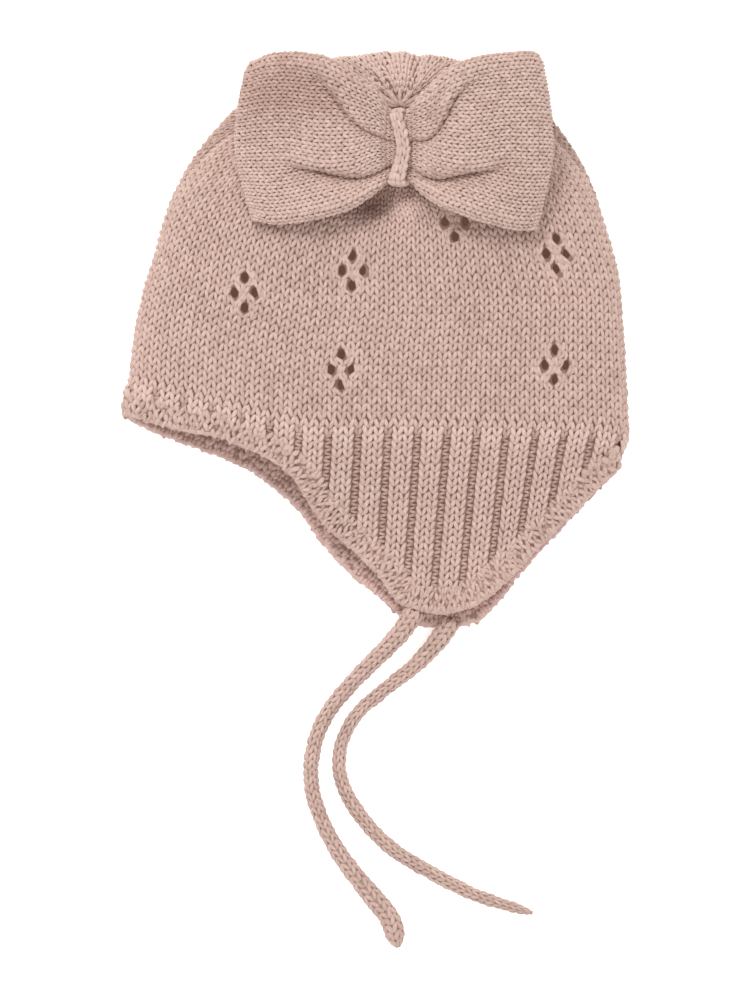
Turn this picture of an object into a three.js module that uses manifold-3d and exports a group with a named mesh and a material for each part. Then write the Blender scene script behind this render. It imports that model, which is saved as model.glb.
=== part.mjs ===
// Baby bonnet with ear flaps, a knitted bow and two ties, lying on its side.
// Millimetres, +Z up from the floor. +Y points to the crown's top, -X to the forehead opening.
import * as THREE from 'three';
import { mergeVertices } from 'three/addons/utils/BufferGeometryUtils.js';
import Module from 'manifold-3d';

// Named sizes
const halfWidth = 101.8; // half the flat width of the hat
const crownRise = 151.6; // from the ribs up to the top outline
const flapDrop = 80.8; // from the ribs' start down to the far flap's tip
const boundaryY = (flapDrop - crownRise) / 2 - 0.6; // where crown and ribs meet, at the nape
const stuffed = 38.5; // how high the near layer stands
const wall = 2.8; // stockinette thickness
const ribWall = 3.2;
const edgeWall = 4.2;
const edgeDepth = 10; // width of the border along the hem
const joint = 0.15; // half the gap between crown and ribs
const edgeJoint = 0.85; // half the gap between ribs and border, along the ribs
const frontRise = 21; // how much higher the ribs start at the forehead
const frontStart = 0.246; // where that rise begins, as a share of the half width
const frontSpan = 0.717;
const nearRoundness = 0.85; // under 1, the near layer is fuller than an ellipse
const columns = 72; // master columns round the hat
const ribCount = 36;
const ribRelief = 1.1;
const pleatCount = 12;
const pleatHeight = 1.9;

// Rings of the crown, from the ribs to the gathered pole.
// side, near and far are shares of the crown's rise, half and shift are shares of the half width,
// and the lifts are shares of the stuffed height. front is the share of the front rise kept.
const rings = [
  {
    v: 0.00, side: 0.000, near: 0.023, far: 0.013, half: 0.982, shift: 0.016,
    sideLift: 0.364, nearLift: 0.883, farLift: -0.208, front: 1.00, pleat: 0.00,
  },
  {
    v: 0.12, side: 0.132, near: 0.112, far: 0.158, half: 0.968, shift: 0.020,
    sideLift: 0.377, nearLift: 0.935, farLift: -0.208, front: 0.80, pleat: 0.00,
  },
  {
    v: 0.25, side: 0.284, near: 0.218, far: 0.330, half: 0.944, shift: 0.030,
    sideLift: 0.390, nearLift: 0.974, farLift: -0.208, front: 0.60, pleat: 0.00,
  },
  {
    v: 0.38, side: 0.422, near: 0.323, far: 0.515, half: 0.910, shift: 0.043,
    sideLift: 0.403, nearLift: 1.000, farLift: -0.208, front: 0.35, pleat: 0.00,
  },
  {
    v: 0.50, side: 0.547, near: 0.422, far: 0.699, half: 0.862, shift: 0.037,
    sideLift: 0.416, nearLift: 1.000, farLift: -0.156, front: 0.12, pleat: 0.00,
  },
  {
    v: 0.60, side: 0.640, near: 0.508, far: 0.838, half: 0.806, shift: 0.042,
    sideLift: 0.442, nearLift: 0.987, farLift: -0.026, front: 0.04, pleat: 0.00,
  },
  {
    v: 0.70, side: 0.719, near: 0.594, far: 0.943, half: 0.717, shift: 0.049,
    sideLift: 0.481, nearLift: 0.961, farLift: 0.130, front: 0.00, pleat: 0.10,
  },
  {
    v: 0.78, side: 0.772, near: 0.663, far: 0.993, half: 0.624, shift: 0.059,
    sideLift: 0.532, nearLift: 0.935, farLift: 0.286, front: 0.00, pleat: 0.45,
  },
  {
    v: 0.86, side: 0.811, near: 0.732, far: 0.996, half: 0.481, shift: 0.074,
    sideLift: 0.623, nearLift: 0.922, farLift: 0.494, front: 0.00, pleat: 1.00,
  },
  {
    v: 0.93, side: 0.838, near: 0.792, far: 0.950, half: 0.295, shift: 0.088,
    sideLift: 0.766, nearLift: 0.922, farLift: 0.727, front: 0.00, pleat: 1.00,
  },
  {
    v: 0.97, side: 0.846, near: 0.825, far: 0.900, half: 0.157, shift: 0.098,
    sideLift: 0.857, nearLift: 0.909, farLift: 0.857, front: 0.00, pleat: 0.55,
  },
  {
    v: 1.00, side: 0.847, near: 0.838, far: 0.861, half: 0.039, shift: 0.098,
    sideLift: 0.831, nearLift: 0.831, farLift: 0.831, front: 0.00, pleat: 0.00,
  },
];

// Height of the layers below the ribs' start, as shares of the stuffed height.
// down is a share of the flap's drop.
const dropLift = [
  { down: 0.00, near: 0.883, side: 0.364 },
  { down: 0.12, near: 0.820, side: 0.330 },
  { down: 0.25, near: 0.700, side: 0.280 },
  { down: 0.45, near: 0.500, side: 0.230 },
  { down: 0.70, near: 0.370, side: 0.200 },
  { down: 1.00, near: 0.325, side: 0.190 },
];

// How far the hem hangs below the ribs' start, as shares of the flap's drop.
// across is a share of the half width.
const hemNear = [
  { across: -0.970, drop: 0.188 },
  { across: -0.838, drop: 0.205 },
  { across: -0.733, drop: 0.205 },
  { across: -0.615, drop: 0.191 },
  { across: -0.431, drop: 0.223 },
  { across: -0.318, drop: 0.286 },
  { across: -0.241, drop: 0.406 },
  { across: -0.158, drop: 0.540 },
  { across: -0.040, drop: 0.658 },
  { across: 0.056, drop: 0.770 },
  { across: 0.148, drop: 0.911 },
  { across: 0.334, drop: 0.955 },
  { across: 0.479, drop: 0.903 },
  { across: 0.649, drop: 0.730 },
  { across: 0.851, drop: 0.450 },
  { across: 0.906, drop: 0.361 },
  { across: 0.937, drop: 0.297 },
  { across: 0.980, drop: 0.235 },
  { across: 0.998, drop: 0.181 },
];
const hemFar = [
  { across: -0.970, drop: 0.188 },
  { across: -0.877, drop: 0.225 },
  { across: -0.712, drop: 0.250 },
  { across: -0.608, drop: 0.260 },
  { across: -0.478, drop: 0.287 },
  { across: -0.386, drop: 0.342 },
  { across: -0.275, drop: 0.431 },
  { across: -0.194, drop: 0.562 },
  { across: -0.091, drop: 0.702 },
  { across: 0.042, drop: 0.839 },
  { across: 0.244, drop: 1.000 },
  { across: 0.467, drop: 0.988 },
  { across: 0.544, drop: 0.911 },
  { across: 0.604, drop: 0.830 },
  { across: 0.649, drop: 0.755 },
  { across: 0.851, drop: 0.450 },
  { across: 0.906, drop: 0.361 },
  { across: 0.937, drop: 0.297 },
  { across: 0.980, drop: 0.235 },
  { across: 0.998, drop: 0.181 },
];
// How far the ribs lean towards the forehead as they go down.
const ribLean = [
  { across: -1.00, lean: 0.200 },
  { across: -0.80, lean: 0.120 },
  { across: -0.40, lean: 0.070 },
  { across: 0.00, lean: 0.060 },
  { across: 0.30, lean: 0.085 },
  { across: 0.53, lean: 0.115 },
  { across: 0.65, lean: 0.150 },
  { across: 0.76, lean: 0.190 },
  { across: 0.90, lean: 0.220 },
  { across: 1.00, lean: 0.200 },
];

// Soft dents and ridges of the near layer. x and wide are shares of the half width, up and high are shares
// of the crown's rise, and deep is a share of the stuffed height.
const dents = [
  { x: 0.098, up: 0.736, wide: 0.150, high: 0.154, deep: 0.119 },
  { x: -0.020, up: 0.597, wide: 0.085, high: 0.038, deep: 0.200 },
  { x: 0.300, up: 0.550, wide: 0.085, high: 0.037, deep: 0.075 },
  { x: 0.130, up: 0.575, wide: 0.055, high: 0.074, deep: -0.075 },
  { x: -0.020, up: 0.920, wide: 0.050, high: 0.040, deep: 0.065 },
];

// Middles of the eyelet diamonds. x is a share of the half width, up is a share of the crown's rise.
const diamondsNear = [
  { x: -0.511, up: 0.359 },
  { x: -0.090, up: 0.417 },
  { x: -0.132, up: 0.156 },
  { x: 0.707, up: 0.169 },
  { x: 0.711, up: 0.462 },
  { x: 0.314, up: 0.546 },
];
const diamondsFar = [
  { x: -0.360, up: 0.260 },
  { x: -0.300, up: 0.500 },
  { x: 0.100, up: 0.300 },
  { x: 0.330, up: 0.338 },
  { x: 0.520, up: 0.160 },
  { x: 0.560, up: 0.500 },
];
// The four holes of a diamond, as shares of its half height.
const diamondHoles = [
  { across: 0, up: 1 },
  { across: -0.67, up: 0 },
  { across: 0.67, up: 0 },
  { across: 0, up: -1 },
];
const diamondHalf = 6;
const eyeletWidth = 2.8;
const eyeletHeight = 4;

// Bow sizes
const knot = { across: 0.098, up: 0.736 }; // its middle, as shares of the half width and the crown's rise
const knotHalf = 12.8; // half the height of the pinched strip at the knot
const knotBulk = 5.8; // from the back layer to the front one at the knot
const loopLeft = 64;
const loopRight = 59.2;
const loopHalf = 34; // half the height of a loop at its middle
const loopFull = 10.4; // how far the fullest part stands over the knot's back layer
const bowWall = 2.6;
const clear = 0.45; // between the wrap and what it holds
const bowLift = 0.6; // from the crown up to the strip
const layerGap = 0.5; // least space between the strip's two layers
const backRoll = 0.9; // how far the back layer's edges rise inside the wrap
const pinched = 0.12; // the stretch of a loop that the wrap squeezes, as a share of its length
const loopEnd = 0.96; // where a loop starts to turn back, as a share of its length
// From the knot to a loop's end. out is a share of the loop's length. top and low are shares of the growth
// from the knot's half height to the loop's. front and back are shares of loopFull over the knot's back
// layer. The two folds of the front layer lie at the shares upper and lower of the strip's width, and
// upperDeep and lowerDeep are shares of foldDepth.
const leftLoop = [
  {
    out: 0.00, top: 0.00, low: 0.00, front: 0.56, back: 0.00,
    upper: 0.66, lower: 0.22, upperDeep: 0.4, lowerDeep: 0.3,
  },
  {
    out: 0.09, top: 0.00, low: 0.00, front: 0.60, back: 0.00,
    upper: 0.65, lower: 0.20, upperDeep: 0.6, lowerDeep: 0.5,
  },
  {
    out: 0.14, top: 0.42, low: 0.13, front: 0.75, back: -0.05,
    upper: 0.63, lower: 0.20, upperDeep: 0.9, lowerDeep: 0.9,
  },
  {
    out: 0.23, top: 0.64, low: 0.31, front: 0.88, back: -0.06,
    upper: 0.66, lower: 0.22, upperDeep: 1.0, lowerDeep: 1.0,
  },
  {
    out: 0.31, top: 0.77, low: 0.46, front: 0.96, back: -0.06,
    upper: 0.72, lower: 0.26, upperDeep: 1.0, lowerDeep: 0.9,
  },
  {
    out: 0.42, top: 0.98, low: 0.59, front: 1.00, back: -0.08,
    upper: 0.82, lower: 0.29, upperDeep: 0.6, lowerDeep: 0.8,
  },
  {
    out: 0.55, top: 1.14, low: 0.68, front: 0.92, back: -0.14,
    upper: 0.88, lower: 0.32, upperDeep: 0.2, lowerDeep: 0.4,
  },
  {
    out: 0.75, top: 1.19, low: 0.77, front: 0.62, back: -0.30,
    upper: 0.88, lower: 0.34, upperDeep: 0.0, lowerDeep: 0.1,
  },
  {
    out: 0.87, top: 1.16, low: 0.80, front: 0.41, back: -0.40,
    upper: 0.88, lower: 0.34, upperDeep: 0.0, lowerDeep: 0.0,
  },
  {
    out: 0.96, top: 1.06, low: 0.77, front: 0.12, back: -0.50,
    upper: 0.88, lower: 0.34, upperDeep: 0.0, lowerDeep: 0.0,
  },
];
const rightLoop = [
  {
    out: 0.00, top: 0.00, low: 0.00, front: 0.56, back: 0.00,
    upper: 0.66, lower: 0.22, upperDeep: 0.4, lowerDeep: 0.3,
  },
  {
    out: 0.09, top: 0.00, low: 0.00, front: 0.60, back: 0.00,
    upper: 0.63, lower: 0.20, upperDeep: 0.7, lowerDeep: 0.5,
  },
  {
    out: 0.14, top: 0.35, low: 0.16, front: 0.76, back: -0.05,
    upper: 0.61, lower: 0.20, upperDeep: 1.0, lowerDeep: 0.9,
  },
  {
    out: 0.21, top: 0.50, low: 0.30, front: 0.86, back: -0.06,
    upper: 0.63, lower: 0.22, upperDeep: 1.1, lowerDeep: 1.0,
  },
  {
    out: 0.30, top: 0.74, low: 0.45, front: 0.96, back: -0.06,
    upper: 0.72, lower: 0.25, upperDeep: 1.0, lowerDeep: 1.0,
  },
  {
    out: 0.40, top: 0.94, low: 0.55, front: 1.00, back: -0.08,
    upper: 0.83, lower: 0.28, upperDeep: 0.6, lowerDeep: 0.8,
  },
  {
    out: 0.58, top: 1.11, low: 0.72, front: 0.86, back: -0.18,
    upper: 0.88, lower: 0.32, upperDeep: 0.2, lowerDeep: 0.4,
  },
  {
    out: 0.80, top: 1.18, low: 0.87, front: 0.50, back: -0.36,
    upper: 0.88, lower: 0.34, upperDeep: 0.0, lowerDeep: 0.0,
  },
  {
    out: 0.90, top: 1.21, low: 0.92, front: 0.32, back: -0.45,
    upper: 0.88, lower: 0.34, upperDeep: 0.0, lowerDeep: 0.0,
  },
  {
    out: 0.96, top: 1.21, low: 0.94, front: 0.08, back: -0.52,
    upper: 0.88, lower: 0.34, upperDeep: 0.0, lowerDeep: 0.0,
  },
];
const foldDepth = 4.2;
const loopBulge = 0.08; // how much longer a loop is at its middle than at its edges, as a share
const bowRows = 10; // cells across the strip, as many as rowAcross has

// Wrap round the knot
const wrapWidth = 7.6;
const wrapWall = 2.2;
const wrapLift = 0.65; // from the crown up to the wrap
const knotRoom = 1.5; // how much longer than the pinched strip the wrap's hollow is, at each end
const wrapCorner = 0.34; // under 1, the wrap's ends are squarer than an ellipse

// Ties. across and up are millimetres from the hat's middle, lift is the height of the centre line.
const tieDiameter = 7;
const tieNear = [
  { x: 16.0, y: -109.0, z: 9.8 },
  { x: 10.6, y: -117.0, z: 9.0 },
  { x: 1.6, y: -126.8, z: 5.0 },
  { x: -8.0, y: -136.4, z: 3.5 },
  { x: -19.6, y: -150.8, z: 3.5 },
  { x: -25.0, y: -165.2, z: 3.5 },
  { x: -25.4, y: -179.6, z: 3.5 },
  { x: -20.8, y: -194.0, z: 3.5 },
  { x: -12.8, y: -208.4, z: 3.5 },
  { x: -1.6, y: -222.8, z: 3.5 },
  { x: 6.0, y: -232.4, z: 3.5 },
  { x: 9.2, y: -243.6, z: 3.5 },
];
const tieFar = [
  { x: 28.0, y: -117.0, z: 3.6 },
  { x: 24.4, y: -122.0, z: 3.5 },
  { x: 15.2, y: -131.6, z: 3.5 },
  { x: 2.8, y: -141.2, z: 3.5 },
  { x: -7.6, y: -150.8, z: 3.5 },
  { x: -13.6, y: -162.8, z: 3.5 },
  { x: -14.0, y: -174.8, z: 3.5 },
  { x: -7.2, y: -189.2, z: 3.5 },
  { x: 6.0, y: -203.6, z: 3.5 },
  { x: 21.2, y: -213.2, z: 3.5 },
  { x: 40.4, y: -222.8, z: 3.5 },
  { x: 62.8, y: -230.0, z: 3.5 },
];

// A smooth curve through a table's column, which never overshoots its rows.
function column(table, key, name) {
  const x = table.map((row) => row[key]);
  const y = table.map((row) => row[name]);
  const slope = [];
  const d = [];
  for (let i = 0; i < x.length - 1; i += 1) d.push((y[i + 1] - y[i]) / (x[i + 1] - x[i]));
  slope.push(d[0]);
  for (let i = 1; i < x.length - 1; i += 1) {
    const same = d[i - 1] * d[i] > 0;
    slope.push(same ? (2 * d[i - 1] * d[i]) / (d[i - 1] + d[i]) : 0);
  }
  slope.push(d[d.length - 1]);
  return (at) => {
    const t = Math.min(Math.max(at, x[0]), x[x.length - 1]);
    let i = 0;
    while (i < x.length - 2 && t > x[i + 1]) i += 1;
    const h = x[i + 1] - x[i];
    const s = (t - x[i]) / h;
    const a = (1 + 2 * s) * (1 - s) ** 2;
    const b = s * (1 - s) ** 2;
    const c = s * s * (3 - 2 * s);
    const e = s * s * (s - 1);
    return a * y[i] + b * h * slope[i] + c * y[i + 1] + e * h * slope[i + 1];
  };
}

function curves(table, key) {
  const out = {};
  for (const name of Object.keys(table[0])) {
    if (name !== key) out[name] = column(table, key, name);
  }
  return out;
}

const ring = curves(rings, 'v');
const lift = curves(dropLift, 'down');
const nearDrop = column(hemNear, 'across', 'drop');
const farDrop = column(hemFar, 'across', 'drop');
const lean = column(ribLean, 'across', 'lean');

// The extra height of the ribs' start towards the forehead.
function frontShare(x) {
  const t = Math.min(Math.max((-x / halfWidth - frontStart) / frontSpan, 0), 1);
  return t ** 1.2;
}

function dentAt(x, y) {
  let down = 0;
  for (const d of dents) {
    const a = (x / halfWidth - d.x) / d.wide;
    const b = ((y - boundaryY) / crownRise - d.up) / d.high;
    down += stuffed * d.deep * Math.exp(-(a * a + b * b));
  }
  return down;
}

// A point of the crown's outer face. angle is 0 at the nape fold and 180 degrees at the front fold.
function crownAt(v, angle, isNear) {
  const r = ring;
  const c = Math.cos(angle);
  const s = Math.abs(Math.sin(angle));
  const x = halfWidth * (r.shift(v) + r.half(v) * c);
  const side = r.side(v);
  const end = isNear ? r.near(v) : r.far(v);
  const y = boundaryY + crownRise * (side + (end - side) * s) + frontRise * r.front(v) * frontShare(x);
  const low = r.sideLift(v);
  const high = isNear ? r.nearLift(v) : r.farLift(v);
  let z = stuffed * (low + (high - low) * s ** (isNear ? nearRoundness : 1));
  if (isNear) z -= dentAt(x, y) * s;
  return new THREE.Vector3(x, y, Math.max(z, 0));
}

// Angles that share out a ring's two halves into equal lengths of cloth.
function evenAngles(v) {
  const steps = 90;
  const angles = [];
  for (const isNear of [true, false]) {
    const from = isNear ? 0 : Math.PI;
    const length = [0];
    let last = crownAt(v, from, isNear);
    for (let i = 1; i <= steps; i += 1) {
      const p = crownAt(v, from + (Math.PI * i) / steps, isNear);
      length.push(length[i - 1] + p.distanceTo(last));
      last = p;
    }
    let k = 0;
    for (let j = 0; j < columns / 2; j += 1) {
      const want = (length[steps] * j) / (columns / 2);
      while (k < steps - 1 && length[k + 1] < want) k += 1;
      const part = (want - length[k]) / (length[k + 1] - length[k]);
      angles.push(from + (Math.PI * (k + part)) / steps);
    }
  }
  return angles;
}

function isNearColumn(j) {
  return ((j % columns) + columns) % columns < columns / 2;
}

const ringCache = new Map();

function ringPoints(v) {
  if (!ringCache.has(v)) {
    const angles = evenAngles(v);
    ringCache.set(v, angles.map((a, j) => crownAt(v, a, isNearColumn(j))));
  }
  return ringCache.get(v);
}

const boundary = ringPoints(0);
const boundaryAngles = evenAngles(0);

function hemDrop(j) {
  const x = boundary[j].x / halfWidth;
  return flapDrop * (isNearColumn(j) ? nearDrop(x) : farDrop(x));
}

// A point of the outer face below the crown, at a drop below the ribs' start.
function bandAt(j, drop) {
  const b = boundary[j];
  const s = Math.abs(Math.sin(boundaryAngles[j]));
  const down = drop / flapDrop;
  const low = lift.side(down);
  const high = isNearColumn(j) ? lift.near(down) : ring.farLift(0);
  let z = stuffed * (low + (high - low) * s ** (isNearColumn(j) ? nearRoundness : 1));
  if (isNearColumn(j)) z -= dentAt(b.x, b.y) * s;
  return new THREE.Vector3(b.x - lean(b.x / halfWidth) * drop, b.y - drop, Math.max(z, 0));
}

// Outward normals of a ring from its neighbours round and along it.
function normals(points, before, after) {
  const n = points.length;
  return points.map((p, j) => {
    const round = points[(j + 1) % n].clone().sub(points[(j + n - 1) % n]);
    const along = after[j].clone().sub(before[j]);
    return along.cross(round).normalize();
  });
}

// Turns a normal into the joint's own plane, so that both sides of a joint match.
function level(n) {
  n.y = 0;
  n.normalize();
}

// A closed mesh from a grid of points, wrapped round in both directions.
function closedGrid(rows, closedEnds) {
  const n = rows[0].length;
  const positions = [];
  const index = [];
  for (const row of rows) for (const p of row) positions.push(p.x, p.y, p.z);
  const last = closedEnds ? rows.length : rows.length - 1;
  for (let i = 0; i < last; i += 1) {
    const k = (i + 1) % rows.length;
    for (let j = 0; j < n; j += 1) {
      const m = (j + 1) % n;
      const a = i * n + j;
      const b = i * n + m;
      const c = k * n + m;
      const d = k * n + j;
      index.push(a, b, c, a, c, d);
    }
  }
  const geometry = new THREE.BufferGeometry();
  geometry.setAttribute('position', new THREE.Float32BufferAttribute(positions, 3));
  geometry.setIndex(index);
  return geometry;
}

function addCap(geometry, start, n, tip, flip) {
  const positions = Array.from(geometry.getAttribute('position').array);
  const index = Array.from(geometry.index.array);
  const at = positions.length / 3;
  positions.push(tip.x, tip.y, tip.z);
  for (let j = 0; j < n; j += 1) {
    const a = start + j;
    const b = start + ((j + 1) % n);
    if (flip) index.push(b, a, at);
    else index.push(a, b, at);
  }
  geometry.setAttribute('position', new THREE.Float32BufferAttribute(positions, 3));
  geometry.setIndex(index);
  return geometry;
}

// Crown wall
const crownSteps = [0, 0.08, 0.17, 0.26, 0.35, 0.44, 0.53, 0.61, 0.68, 0.75, 0.82, 0.88, 0.93, 0.97, 1];

function crownRows(outer) {
  return crownSteps.map((v) => {
    const points = ringPoints(v);
    const lower = Math.max(v - 0.01, 0);
    const upper = Math.min(v + 0.01, 1);
    const n = normals(points, ringPoints(lower), ringPoints(upper));
    if (v === 0) n.forEach(level);
    return points.map((p, j) => {
      const fold = pleatHeight * ring.pleat(v);
      if (outer) {
        const wave = Math.cos((Math.PI * 2 * pleatCount * j) / columns);
      const out = p.clone().addScaledVector(n[j], fold * wave);
        if (v === 0) out.y += joint;
        return out;
      }
      const back = p.clone().addScaledVector(n[j], -wall - fold);
      if (v === 0) back.y += joint;
      return back;
    });
  });
}

function middleOf(points) {
  const c = new THREE.Vector3();
  for (const p of points) c.add(p);
  return c.divideScalar(points.length);
}

const outerRows = crownRows(true);
const innerRows = crownRows(false);
const rowTotal = crownSteps.length;
const crownGrid = closedGrid([...outerRows.slice().reverse(), ...innerRows], false);
addCap(crownGrid, 0, columns, middleOf(outerRows[rowTotal - 1]), true);
addCap(crownGrid, (2 * rowTotal - 1) * columns, columns, middleOf(innerRows[rowTotal - 1]), false);

// Eyelets: a six-sided pin through the wall at each hole.
function surfaceFrame(x, y, isNear) {
  let best = null;
  for (let v = 0.01; v < 0.9; v += 0.01) {
    const points = ringPoints(Math.round(v * 100) / 100);
    for (let j = 0; j < columns; j += 1) {
      if (isNearColumn(j) === isNear) {
        const p = points[j];
        const d = (p.x - x) ** 2 + (p.y - y) ** 2;
        if (!best || d < best.d) best = { d, p };
      }
    }
  }
  return best.p;
}

function eyeletPin(x, y, isNear) {
  const p = surfaceFrame(x, y, isNear);
  const shape = new THREE.Shape();
  for (let k = 0; k < 6; k += 1) {
    const a = (Math.PI * (k + 0.5)) / 3;
    const px = (eyeletWidth / 2) * Math.cos(a);
    const py = (eyeletHeight / 2) * Math.sin(a);
    if (k === 0) shape.moveTo(px, py);
    else shape.lineTo(px, py);
  }
  const pin = new THREE.ExtrudeGeometry(shape, { depth: 5 * wall, bevelEnabled: false });
  pin.translate(x, y, p.z - 2.5 * wall);
  return pin;
}

const wasm = await Module();
wasm.setup();

function toManifold(geometry) {
  const g = geometry.clone();
  g.deleteAttribute('normal');
  g.deleteAttribute('uv');
  const merged = mergeVertices(g, 1e-4);
  return new wasm.Manifold(new wasm.Mesh({
    numProp: 3,
    vertProperties: Float32Array.from(merged.getAttribute('position').array),
    triVerts: Uint32Array.from(merged.index.array),
  }));
}

function fromManifold(solid) {
  const mesh = solid.getMesh();
  const geometry = new THREE.BufferGeometry();
  const positions = new Float32Array((mesh.vertProperties.length / mesh.numProp) * 3);
  for (let i = 0; i < positions.length / 3; i += 1) {
    for (let k = 0; k < 3; k += 1) positions[i * 3 + k] = mesh.vertProperties[i * mesh.numProp + k];
  }
  geometry.setAttribute('position', new THREE.BufferAttribute(positions, 3));
  geometry.setIndex(Array.from(mesh.triVerts));
  return geometry;
}

let crownSolid = toManifold(crownGrid);
for (const [table, isNear] of [[diamondsNear, true], [diamondsFar, false]]) {
  for (const d of table) {
    for (const hole of diamondHoles) {
      const x = d.x * halfWidth + hole.across * diamondHalf;
      const y = boundaryY + d.up * crownRise + hole.up * diamondHalf;
      crownSolid = crownSolid.subtract(toManifold(eyeletPin(x, y, isNear)));
    }
  }
}
const crownGeometry = fromManifold(crownSolid);

// Ribs and border hang from the crown's last ring, so their rows share its straight chords.
const chartedDrops = boundary.map((b, j) => hemDrop(j));
const drops = chartedDrops.map((d, j) => {
  const before = chartedDrops[(j + columns - 1) % columns];
  const after = chartedDrops[(j + 1) % columns];
  return (before + 2 * d + after) / 4; // the hem turns the folds without a kink
});

function bandRow(part, from, to) {
  const at = boundary.map((b, j) => from(j) + (to(j) - from(j)) * part);
  const points = boundary.map((b, j) => bandAt(j, at[j]));
  const above = boundary.map((b, j) => bandAt(j, Math.max(at[j] - 1, 0)));
  const below = boundary.map((b, j) => bandAt(j, at[j] + 1));
  const out = normals(points, below, above);
  if (at[0] < 1) out.forEach(level);
  return { points, out };
}

function chord(row, u) {
  const t = u * columns;
  const a = Math.floor(t) % columns;
  const b = (a + 1) % columns;
  const f = t - Math.floor(t);
  return {
    p: row.points[a].clone().lerp(row.points[b], f),
    n: row.out[a].clone().lerp(row.out[b], f).normalize(),
  };
}

const ribSteps = [0, 0.33, 0.67, 1];
const ribProfile = [
  { at: 0.03, depth: 0 },
  { at: 0.69, depth: 0 },
  { at: 0.78, depth: 1 },
  { at: 0.94, depth: 1 },
];

function offset(row, u, depth) {
  const { p, n } = chord(row, u);
  const q = p.addScaledVector(n, -depth);
  q.z = Math.max(q.z, 0);
  return q;
}

const ribRows = ribSteps.map((part) => bandRow(part, () => joint, (j) => drops[j] - edgeDepth - edgeJoint));
const ribOuter = [];
const ribInner = [];
for (const row of ribRows) {
  const outer = [];
  const inner = [];
  for (let r = 0; r < ribCount; r += 1) {
    for (const step of ribProfile) {
      const u = (r + step.at) / ribCount;
      outer.push(offset(row, u, ribRelief * step.depth));
      inner.push(offset(row, u, ribWall));
    }
  }
  ribOuter.push(outer);
  ribInner.push(inner);
}
const ribGeometry = closedGrid([...ribOuter, ...ribInner.slice().reverse()], true);

// The border's section, from its ribs' side round to its inside.
const edgeSection = [
  { part: 0, depth: 0 },
  { part: 0.5, depth: -0.7 },
  { part: 0.94, depth: -0.1 },
  { part: 1, depth: 0.5 * edgeWall },
  { part: 0.92, depth: edgeWall },
  { part: 0, depth: edgeWall },
];
const edgeRows = edgeSection.map((s) => {
  const row = bandRow(s.part, (j) => drops[j] - edgeDepth + edgeJoint, (j) => drops[j]);
  return boundary.map((b, j) => offset(row, j / columns, s.depth));
});
const edgeGeometry = closedGrid(edgeRows, true);

// Bow
const loops = { left: curves(leftLoop, 'out'), right: curves(rightLoop, 'out') };

function crownTop(x, y) {
  let z = -1;
  for (let i = 0; i < outerRows.length - 1; i += 1) {
    for (let j = 0; j < columns; j += 1) {
      const m = (j + 1) % columns;
      const quad = [outerRows[i][j], outerRows[i][m], outerRows[i + 1][m], outerRows[i + 1][j]];
      for (const [a, b, c] of [[quad[0], quad[1], quad[2]], [quad[0], quad[2], quad[3]]]) {
        const det = (b.y - c.y) * (a.x - c.x) + (c.x - b.x) * (a.y - c.y);
        if (Math.abs(det) > 1e-9) {
          const s = ((b.y - c.y) * (x - c.x) + (c.x - b.x) * (y - c.y)) / det;
          const t = ((c.y - a.y) * (x - c.x) + (a.x - c.x) * (y - c.y)) / det;
          if (s > -0.01 && t > -0.01 && s + t < 1.01) z = Math.max(z, s * a.z + t * b.z + (1 - s - t) * c.z);
        }
      }
    }
  }
  return z;
}

function clearance(x, y) {
  let z = -1;
  for (const dx of [-3, 0, 3]) for (const dy of [-3, 0, 3]) z = Math.max(z, crownTop(x + dx, y + dy));
  return z;
}

// The height of the strip's back layer inside the wrap.
const knotX = halfWidth * knot.across;
const knotY = boundaryY + crownRise * knot.up;
const knotBack = clearance(knotX, knotY) + wrapWall + clear + bowWall / 2 + wrapLift;

// Folds of the front layer: across is 0 at the strip's low edge and 1 at its top edge.
// Each fold is steep on one side and gentle on the other, and both edges roll down.
function foldAt(across, t, out) {
  const up = across - t.upper(out);
  const down = across - t.lower(out);
  const a = t.upperDeep(out) * Math.exp(-((up / (up > 0 ? 0.06 : 0.12)) ** 2));
  const b = t.lowerDeep(out) * Math.exp(-((down / (down > 0 ? 0.045 : 0.10)) ** 2));
  const roll = Math.max(0, Math.abs(across - 0.5) * 2 - 0.88) / 0.12;
  return foldDepth * (a + b + 0.5 * roll * roll);
}

function loopPoint(isRight, out, across, isFront) {
  const t = isRight ? loops.right : loops.left;
  const sign = isRight ? 1 : -1;
  const length = isRight ? loopRight : loopLeft;
  const growth = loopHalf - knotHalf;
  const top = knotY + knotHalf + growth * t.top(out);
  const low = knotY - knotHalf - growth * t.low(out);
  const bulge = 1 - loopBulge + loopBulge * Math.sin(Math.PI * across);
  const x = knotX + sign * length * out * bulge;
  const y = low + (top - low) * across;
  let z = knotBack + loopFull * (isFront ? t.front(out) : t.back(out));
  if (isFront && out < pinched) z = knotBack + knotBulk + loopFull * (t.front(out) - t.front(0));
  if (isFront) z -= foldAt(across, t, out);
  const least = clearance(x, y) + bowWall / 2 + bowLift;
  if (out < pinched) z = isFront ? z : knotBack + backRoll * Math.abs(2 * across - 1) ** 3;
  else if (!isFront) z = Math.max(z, least);
  else z = Math.max(z, least + bowWall + layerGap);
  return new THREE.Vector3(x, y, z);
}

// The strip's cells across, with one row along each fold.
function rowAcross(k, out, isRight) {
  const t = isRight ? loops.right : loops.left;
  const low = t.lower(out);
  const high = t.upper(out);
  const shares = [
    0, 0.35 * low, 0.7 * low, low,
    low + 0.22 * (high - low), low + 0.5 * (high - low), low + 0.78 * (high - low),
    high, high + 0.32 * (1 - high), high + 0.68 * (1 - high), 1,
  ];
  return shares[k];
}

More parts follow.
